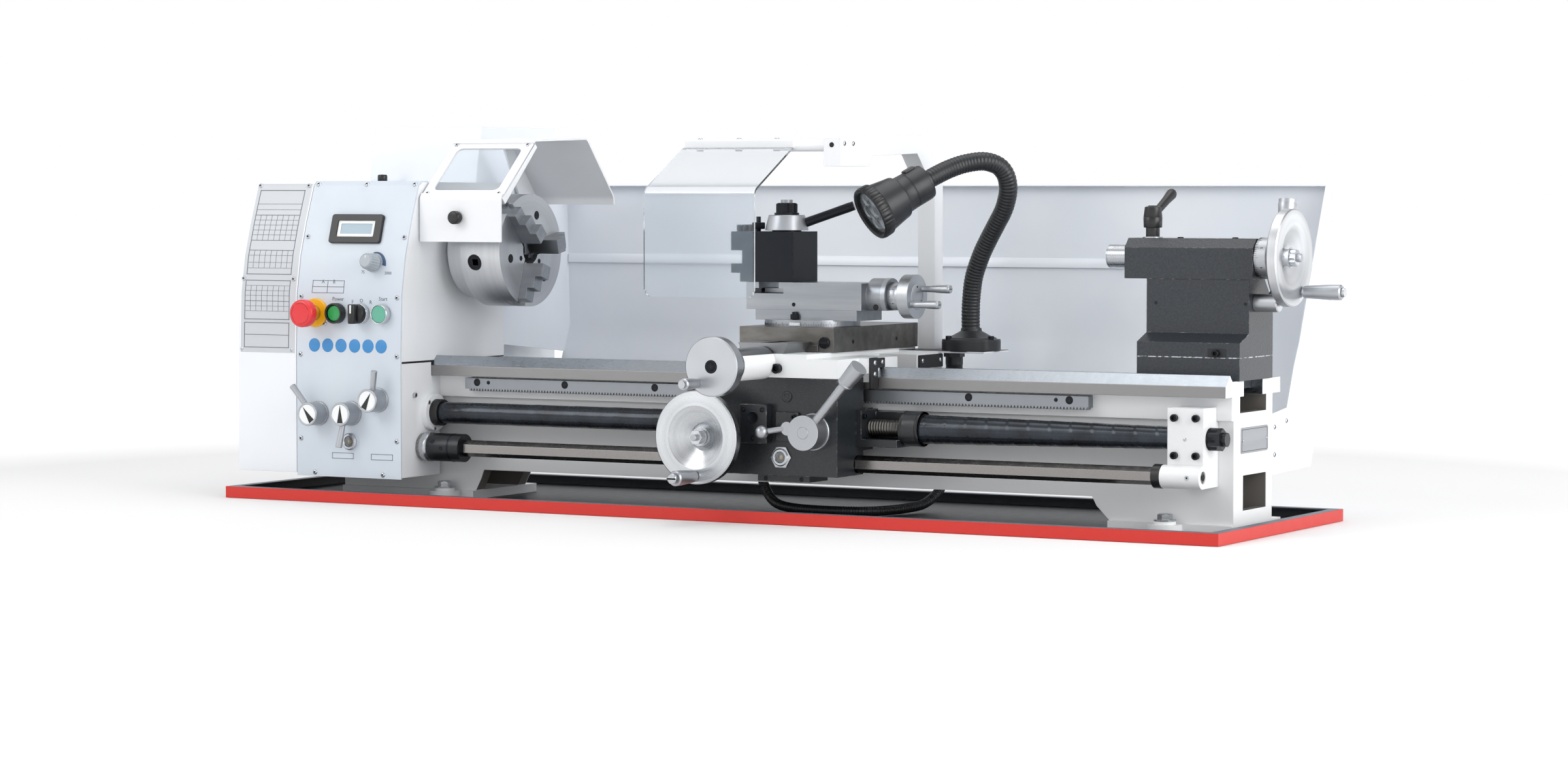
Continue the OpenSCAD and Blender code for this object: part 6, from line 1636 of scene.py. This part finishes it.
# %% [markdown]
# ## The drop shield
# A clear sheet hangs from a white bar in front of the tool. It slants out, bends and drops. The bar's
# three screws and their nuts hold it.
# %% Shield
SHIELD_Y, SHIELD_Z = -140, 497
shield_line = [(SHIELD_Y - 4, SHIELD_Z - 4.2), (SHIELD_Y - 12, SHIELD_Z - 5.5),
               (SHIELD_Y - 110, SHIELD_Z - 60), (SHIELD_Y - 110, SHIELD_Z - 187),
               (SHIELD_Y - 110, SHIELD_Z - 193), (SHIELD_Y - 110, SHIELD_Z - 197.5),
               (SHIELD_Y - 110, SHIELD_Z - 199)]
shield_spans = [(-38, 130), (-38, 130), (-38, 130), (-38, 130), (-36, 128), (-31.5, 123.5), (-26, 118)]
shield = make("shield_sheet", [folded(shield_line, shield_spans, -3.0, 7)], "clear_shield", CLEAR,
              "clear_sheet", 25)
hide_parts("clear_shield")
low, high = np.array([-37, SHIELD_Y - 9, SHIELD_Z - 4]), np.array([131, SHIELD_Y + 9, SHIELD_Z + 9])
make("shield_bar", [block(low, high, 2, 0.8, up=0)], "clear_shield", WHITE, "white_paint")
BAR_SCREWS = (-18, 42, 100)
screws("shield_screws", "button", 3.6, [(x, SHIELD_Y, SHIELD_Z + 9) for x in BAR_SCREWS], (0, 0, 1),
       "clear_shield", *CHROMED)
make("shield_nuts", [hexagon(8, 4, (x, SHIELD_Y, SHIELD_Z - 8.4), (0, 0, 1), 0.6, 1.6) for x in BAR_SCREWS],
     "clear_shield", *CHROMED)
make("shield_washers", [washer(1.6, 6.4, 1.2, (x, SHIELD_Y, SHIELD_Z - 5.0),
                               (0, 0, 1)) for x in BAR_SCREWS], "clear_shield", WHITE_PLASTIC,
     "white_plastic")
arm_low = box_mm("shield_arm")[0]
# The hole in the arm's end is a thin dark disc: painted shade.
make("arm_end_hole_shade", [turned([(0, 0), (3.4, 0), (3.4, 0.3), (0, 0.3)],
                             (190, arm_low[1] - 0.05, SHIELD_Z + 1), FORWARD, 32)], "carriage", *SHADE_AND_SEAM)
screws("arm_screws", "button", 3.4, [(203, -142, 500), (203, -118, 500)], (1, 0, 0), "carriage", *CHROMED)
print("shield hung")
# %% [markdown]
# ## The tailstock
# The tailstock's body is hammered grey, split from its base by a line where the paint has chipped. Two
# oil holes, the keeper screw in its notch, the graduated quill and a dial collar finish it.
# %% Split line, notch and oil holes
tail_low, tail_high = box_mm("tailstock_base")
SPLIT_Z = tail_high[2]
chipped = Finish("chipped_primer", "c3c6ca", 0.6)
flecks = chipped.steps(chipped.noise(220, 5), (0.46, 0.0), (0.56, 1.0))
chipped.set(Base_Color=chipped.over(flecks, "3f464e", "c3c6ca"),
            Roughness=chipped.add("ShaderNodeMapRange", Value=flecks, To_Min=0.35, To_Max=0.7))
chipped.bump(flecks, 0.0001)
make("split_line", [block((tail_low[0] + 1, tail_low[1] - 0.25, SPLIT_Z - 0.4),
                          (tail_high[0] + 0.25, tail_low[1] + 1, SPLIT_Z + 0.9), 0.3, 0.1),
                    block((tail_high[0] - 1, tail_low[1] - 0.2, SPLIT_Z - 0.4),
                          (tail_high[0] + 0.25, tail_high[1] + 0.2, SPLIT_Z + 0.9), 0.3, 0.1)], "tailstock",
     chipped.material, "grey_paint")
make("keeper_notch", [block((690, tail_low[1] - 0.35, 226.3), (716, tail_low[1] + 0.5, 238), 1.5, 0.2,
                            up=1)], "tail_body", plain("notch_shadow", "1a1d21", 0.6, edge=0).material,
     "black_plastic")
screws("keeper_screw", "cap", 4.8, [(702, tail_low[1] + 0.2, 231.8)], FORWARD, "tail_body", *DARK_IRON, 32)
body_front = AXIS_Y - 25
# The oil holes are thin dark discs on the body: painted shade.
make("oil_hole_shade", [turned([(0, 0), (2.3, 0), (2.3, 0.25), (0, 0.25)], (x, body_front - 0.02, 294), FORWARD,
                          24) for x in (605, 729)], "tail_body", *SHADE_AND_SEAM)
oiler = [(0, -1), (4.2, -1), (4.2, 0.6), (3.4, 1.4), (1.6, 1.6), (1.2, 0.9), (0, 0.8)]
make("tail_oilers", [turned(oiler, (x, AXIS_Y, AXIS_Z + 24), (0, 0, 1), 32) for x in (628, 704)],
     "tail_body", *DARK_IRON, 40)
print("tailstock split at z", round(SPLIT_Z, 1))

# %% Quill graduations, lock and dial collar
quill_low, quill_high = box_mm("quill")
QUILL_R = (quill_high[1] - quill_low[1]) / 2
ring_x, ring_r = np.array([-0.17, 0.17, 0.17, -0.17]), QUILL_R + np.array([-0.1, -0.1, 0.015, 0.015])
a = math.radians(118)
out = np.array([0, math.cos(a), math.sin(a)])
side = np.array([0, -math.sin(a), math.cos(a)])
marks = []
for k in range(28):
    t = a + np.linspace(0, (9 if k % 5 == 0 else 5.5) / QUILL_R, 6)[:, None]
    x = np.broadcast_to(quill_low[0] + 8 + k * 2 + ring_x, (6, 4))
    band = np.stack([x, AXIS_Y + ring_r * np.cos(t), AXIS_Z + ring_r * np.sin(t)], -1)
    marks.append(capped(band))
make("quill_lines", marks, "quill", *MOULDED)
for k, value in enumerate((0, 1, 2)):
    at = np.array([quill_low[0] + 8 + k * 20, AXIS_Y, AXIS_Z]) + out * (QUILL_R + 0.02) - side * 4.4
    figure = figures(f"quill_figure_{k}", str(value), at, (1, 0, 0), side, 5, "quill")
    points = np.array([v.co for v in figure.data.vertices]) / MM - (0, AXIS_Y, AXIS_Z)
    angle = np.arctan2(points[:, 2], points[:, 1])
    radius = np.where(points @ out > QUILL_R + 0.02, QUILL_R + 0.015, QUILL_R - 0.1)
    points = np.stack([points[:, 0], AXIS_Y + radius * np.cos(angle), AXIS_Z + radius * np.sin(angle)], 1)
    figure.data.vertices.foreach_set("co", (points * MM).ravel())
make("quill_mouth", [turned([(9.4, 0.2), (14.2, 0.2), (14.6, -0.3), (15.06, -1), (15.06, -2), (9.4, -2),
                             (9.4, 0.2)][::-1], (quill_low[0], AXIS_Y, AXIS_Z), (-1, 0, 0), 72)], "quill",
     STEEL, "ground_steel", 30)
collar_rows = [(8, 0), (24.8, 0), (25.2, 0.4), (25.2, 15.4), (24.6, 16), (8, 16), (8, 0)]
make("tail_dial", [turned(collar_rows, (739.1, AXIS_Y, AXIS_Z), (1, 0, 0), 90)], "tail_wheel", *SATINED, 35)
ticks("tail_dial_lines", (739.1, AXIS_Y, AXIS_Z), (1, 0, 0), 25.2, 0.4, 3.4, 5.6, 60, "tail_wheel")
dial_figures("tail_dial_figure", (739.1, AXIS_Y, AXIS_Z), (1, 0, 0), 25.2, 10, range(0, 6), 5, "tail_wheel")
LOCK_X = 589
lock_rows = [(0, -24), (4.8, -24), (4.8, 0.1), (8.8, 0.1), (9, 0.6), (9, 13), (11.4, 13.2), (12, 13.8),
             (12.4, 26.4), (11.9, 27), (12.2, 27.6), (10.6, 39.6), (9, 40.4), (6.4, 40.6), (6, 41.8),
             (0, 41.8)]
lock_arm = [(0, 0), (5, 0), (5.2, 10), (5.8, 40), (6.8, 52), (7.2, 58), (6.4, 61.4), (3.6, 62.8), (0, 63)]
arm_from, arm_to = np.array([LOCK_X, AXIS_Y + 6, AXIS_Z + 55]), np.array([LOCK_X, AXIS_Y + 62, AXIS_Z + 82])
piece = make("quill_lock_lever", [turned(lock_rows, (LOCK_X, AXIS_Y, AXIS_Z + 24.1), (0, 0, 1), 48),
                                  turned(lock_arm, arm_from, arm_to - arm_from, 32)], "quill_lock",
             *MOULDED, 45)
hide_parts("quill_lock")
make("lock_washer", [washer(5.2, 13, 1.6, (LOCK_X, AXIS_Y, AXIS_Z + 24), (0, 0, 1))], "tail_body", *CHROMED)
hub = np.array([734 + 31, -20, 295.0])
make("clamp_hub_cap", [turned([(0, -0.3), (11.6, -0.3), (11.6, 0.5), (10.4, 1.8), (4, 2.2), (0, 2.2)], hub,
                              (1, 0, 0), 48)], "tail_clamp", *CHROMED, 35)
knob = [(0, 0), (8.8, 0), (9.6, 2), (11.6, 30), (12.2, 36), (11.2, 39.6), (6.8, 41.6), (0, 42)]
clamp_from = np.array([752, -20 + 52, 295 + 90.0])
clamp_to = np.array([752, -20 + 61, 295 + 131.0])
make("clamp_knob", [turned(knob, clamp_from, clamp_to - clamp_from, 40)], "tail_clamp", *SATINED, 45)
print("quill, dial and clamp made")
# %% [markdown]
# ## The bed's small parts
# Screws and dowels hold the rack, an end bracket carries both shafts, a bare rating plate sits on the
# end wall, and hexagon bolts hold the feet to the tray.
# %% Rack, bracket and bolts
RACK_Z = 168.5
RACK_SCREWS = (-407, -261, -115, 31, 178, 365, 510)
screws("rack_screws", "sunk", 5.4, [(x, -100.0, RACK_Z) for x in RACK_SCREWS], FORWARD, "bed_frame",
       *DARK_IRON, 28)
make("rack_dowels", [turned([(0, -0.2), (2.7, -0.2), (2.7, 0.2), (2.3, 0.45), (0, 0.45)],
                            (x, -100.0, RACK_Z), FORWARD, 24) for x in (-388, 491)], "bed_frame",
     *DARK_IRON)
bracket_low = box_mm("end_bracket")[0]
screws("bracket_end_screws", "cap", 4.8, [(x, bracket_low[1] + 15.1, z) for x in (670,
                                                                                  699.5) for z in (104.5,
                                                                                                   152)],
       FORWARD, "bed_frame", *DARK_IRON, 32)
print("bracket front at y", round(bracket_low[1], 1))
make("bracket_pin", [turned([(0, -0.2), (2.2, -0.2), (2.2, 0.4), (1.6, 0.8), (0, 0.8)], (684, -128, 125),
                            FORWARD, 24)], "bed_frame", BRIGHT, "ground_steel")
# A thin dark disc on the bracket's end, where the feed rod's bore would show: painted shade.
make("bracket_bore_shade", [turned([(0, 0), (4.6, 0), (4.6, 0.3), (0, 0.3)], (708.95, *ROD_YZ), (1, 0, 0), 32)],
     "bed_frame", *SHADE_AND_SEAM)
screws("bracket_side_screw", "sunk", 3.2, [(693, -143, 77.5)], FORWARD, "bed_frame", *CHROMED)
foot = []
for x in (-464, 644):
    for s in (-1, 1):
        at = (x, AXIS_Y + s * 81, 18)
        foot += [washer(4, 14.5, 2.2, at, (0, 0, 1)), hexagon(17, 7.5, (x, AXIS_Y + s * 81, 20.1),
                                                              (0, 0, 1), 1.1)]
make("foot_bolts", foot, "bed_frame", *CHROMED)
print("bed bolts:", len(foot) // 2)

# %% End plate
plate_metal = ground("plate_metal", "b3b6ba", 0.38, along=1, shade="a6a9ad").material
make("end_plate", [block((729.9, -58, 104), (730.9, 31, 137), 3, 0.3, up=0)], "bed_frame", plate_metal,
     "aluminium")
rim = []
for y0, y1, z0, z1 in ((-55.5, 28.5, 106.3, 106.9), (-55.5, 28.5, 134.1, 134.7),
                       (-55.5, -54.9, 106.3, 134.7), (27.9, 28.5, 106.3, 134.7)):
    rim.append(block((730.8, y0, z0), (731.15, y1, z1), 0.1, 0.05, up=0))
make("end_plate_rim", rim, "bed_frame", *MOULDED)
rivet = [(0, -0.2), (2.0, -0.2), (1.9, 0.5), (1.2, 1.0), (0, 1.2)]
make("end_plate_rivets", [turned(rivet, (730.9, y, 120.5), (1, 0, 0), 20) for y in (-52, 25)], "bed_frame",
     *CHROMED)

# %% [markdown]
# ## Sheet metal behind
# The splash guard has a pressed rib. Louvres cool the motor, and small screws hold the sheets. Each
# louvre is a short pressed lid over a dark plate, painted shade where its opening would be.
# %% Splash guard rib and the seam of the headstock
face_x = PANEL_HIGH[0]
GUARD_TOP = AXIS_Z + 92


def guard_y(z):
    """y of the splash guard's front face at height z, on its two straight stretches."""
    bend_z = GUARD_TOP - 207
    return 249.5 + (GUARD_TOP - z) / 207 * 6.9 if z > bend_z else float(np.interp(z, (73, bend_z),
                                                                                  (184.6, 256.4)))


rib_rows = []
for z, d in ((330, 0.0), (330.6, 3.0), (341, 2.6), (343.6, 0.2), (344, 0.0)):
    rib_rows.append([(face_x + 0.5, guard_y(z) - d, z), (728 - 2.5, guard_y(z) - d, z),
                     (728 - 2.5, guard_y(z) + 0.6, z), (face_x + 0.5, guard_y(z) + 0.6, z)])
make("splash_rib", [capped(np.array(rib_rows, float))], "bed_frame", WHITE_SHEET, "white_paint", 50)
screws("splash_screws", "button", 3.4, [(729.0 - 1.0, 60, 132), (728.0, 60, 96), (728.0, 100, 138)],
       (1, 0, 0), "bed_frame", *CHROMED)
make("head_seam", [block((face_x - 0.4, -179, WAY_Z - 1.3), (face_x + 0.12, 77, WAY_Z + 1.5), 0.2, 0.05)],
     "bed_frame", *SHADE_AND_SEAM)
screws("head_plug", "cap", 3.6, [(face_x, -150, 151)], (1, 0, 0), "bed_frame", *CHROMED)
make("head_cap", [turned([(0, 0), (6.5, 0), (6.9, 0.6), (6.9, 7), (6, 9), (0, 9.4)], (-560, -110, 450.9),
                         (0, 0, 1), 36)], "bed_frame", *MOULDED, 40)
print("splash guard dressed")

# %% Motor cover louvres and hinge screws
house_low, house_high = box_mm("motor_housing")
back_limit = CAD_BOX[1][1] / MM
louvre_shade, lids = [], []
back_y = house_high[1]
for row in range(6):
    for col in range(2):
        x0, z = house_low[0] + 32 + col * 66, 250 + row * 16
        # The opening under each lid is a thin dark plate on the cover: painted shade, not a hole.
        louvre_shade.append(block((x0 + 2, back_y - 0.8, z), (x0 + 54, back_y, z + 7), 3, 0.1, up=1))
        lids.append(block((x0 + 1, back_y - 1.2, z + 4.6), (x0 + 55, back_limit - 0.02, z + 8.4), 1.2, 0.5,
                          up=1))
make("motor_louvre_shade", louvre_shade, "bed_frame", *SHADE_AND_SEAM)
make("motor_louvre_lids", lids, "bed_frame", WHITE_SHEET, "white_paint")
edge_x = (house_low[0] + 9, house_high[0] - 9)
screws("motor_cover_screws", "button", 3.4, [(x, house_high[1] - 1.9, z) for x in edge_x for z in (165, 340,
                                                                                                   515)],
       (0, 1, 0), "bed_frame", *CHROMED)
screws("motor_side_screws", "button", 3.4, [(house_high[0], y, z) for y in (96, 268) for z in (170, 330)],
       (1, 0, 0), "bed_frame", *CHROMED)
print("motor cover dressed")
# %% [markdown]
# ## The floor and the light
# A studio sweep would show behind glass and chrome as a band, so the floor is a wide plain disc and the
# world is white round the horizon. Overhead it falls to grey, which gives ground metal something
# to mirror. Three large lamps, one high at the left, one at the right and one above, keep shadows soft.
# %% Floor
FLOOR_RADIUS = 40000
floor_finish = Finish("floor_paint", "e8e8e8", 0.8)
floor_tone = floor_finish.noise(0.7, 2)
floor_finish.set(Roughness=floor_finish.add("ShaderNodeMapRange", Value=floor_tone, To_Min=0.75,
                                            To_Max=0.85))
distance = floor_finish.tree.nodes.new("ShaderNodeVectorMath")
distance.operation = "LENGTH"
floor_finish.tree.links.new(floor_finish.where, distance.inputs[0])
far_off = floor_finish.add("ShaderNodeMapRange", Value=distance.outputs["Value"], From_Min=1.4,
                           From_Max=3.2)
rays = floor_finish.tree.nodes.new("ShaderNodeLightPath").outputs
shown = floor_finish.math("MAXIMUM", rays["Is Camera Ray"],
                          floor_finish.math("MAXIMUM", rays["Is Glossy Ray"], rays["Is Transmission Ray"]))
floor_finish.set(Emission_Color=tone("ffffff"), Emission_Strength=floor_finish.math("MULTIPLY", shown,
                                                                                    far_off))
reach = np.array([FLOOR_RADIUS, 6000, 2400, 0.001])
floor = make("floor", [turned([(r, -0.4) for r in reach], (0, 0, 0), (0, 0, 1), 96)], None,
             floor_finish.material)
print("floor", FLOOR_RADIUS * MM, "m")

# %% World and lamps
AMBIENT = 0.95
world = bpy.data.worlds.new("studio")
world.use_nodes = True
bpy.context.scene.world = world
tree = world.node_tree
sky = tree.nodes["Background"]
path = tree.nodes.new("ShaderNodeLightPath")
seen = tree.nodes.new("ShaderNodeMath")
seen.operation = "MAXIMUM"
tree.links.new(path.outputs["Is Camera Ray"], seen.inputs[0])
gloss = tree.nodes.new("ShaderNodeMath")
gloss.operation = "MAXIMUM"
tree.links.new(path.outputs["Is Glossy Ray"], gloss.inputs[0])
tree.links.new(path.outputs["Is Transmission Ray"], gloss.inputs[1])
tree.links.new(gloss.outputs[0], seen.inputs[1])
strength = tree.nodes.new("ShaderNodeMapRange")
tree.links.new(seen.outputs[0], strength.inputs["Value"])
strength.inputs["To Min"].default_value = AMBIENT
strength.inputs["To Max"].default_value = 1.0
tree.links.new(strength.outputs[0], sky.inputs["Strength"])
turn = tree.nodes.new("ShaderNodeTexCoord")
parts = tree.nodes.new("ShaderNodeSeparateXYZ")
tree.links.new(turn.outputs["Generated"], parts.inputs[0])
dome = tree.nodes.new("ShaderNodeValToRGB")
for point, (height, grey) in zip([dome.color_ramp.elements[0], dome.color_ramp.elements[1],
                                  dome.color_ramp.elements.new(0.5)],
                                 [(0.34, 1.0), (1.0, 0.55), (0.66, 0.42)]):
    point.position = height
    point.color = (grey, grey, grey * 1.01, 1)
tree.links.new(parts.outputs["Z"], dome.inputs[0])
tree.links.new(dome.outputs[0], sky.inputs["Color"])


def lamp(name, at, size, power, aim=(0, 0, 0.25)):
    """A square area lamp at a place, turned to face a point."""
    data = bpy.data.lights.new(name, "AREA")
    data.shape = "SQUARE"
    data.size = size
    data.energy = power
    thing = bpy.data.objects.new(name, data)
    thing.location = at
    u, v, w = axes(np.array(at) - np.array(aim), (0, 0, 1))
    thing.rotation_euler = Matrix(np.array([u, v, w]).T.tolist()).to_euler()
    thing.visible_camera = False
    bpy.context.collection.objects.link(thing)
    return thing


lamp("key", (-2.2, -3.0, 2.6), 2.2, 56)
lamp("fill", (3.6, -0.6, 1.4), 2.4, 80)
lamp("top", (0.2, 0.3, 3.2), 2.4, 32)
bpy.context.scene.view_settings.view_transform = "Standard"
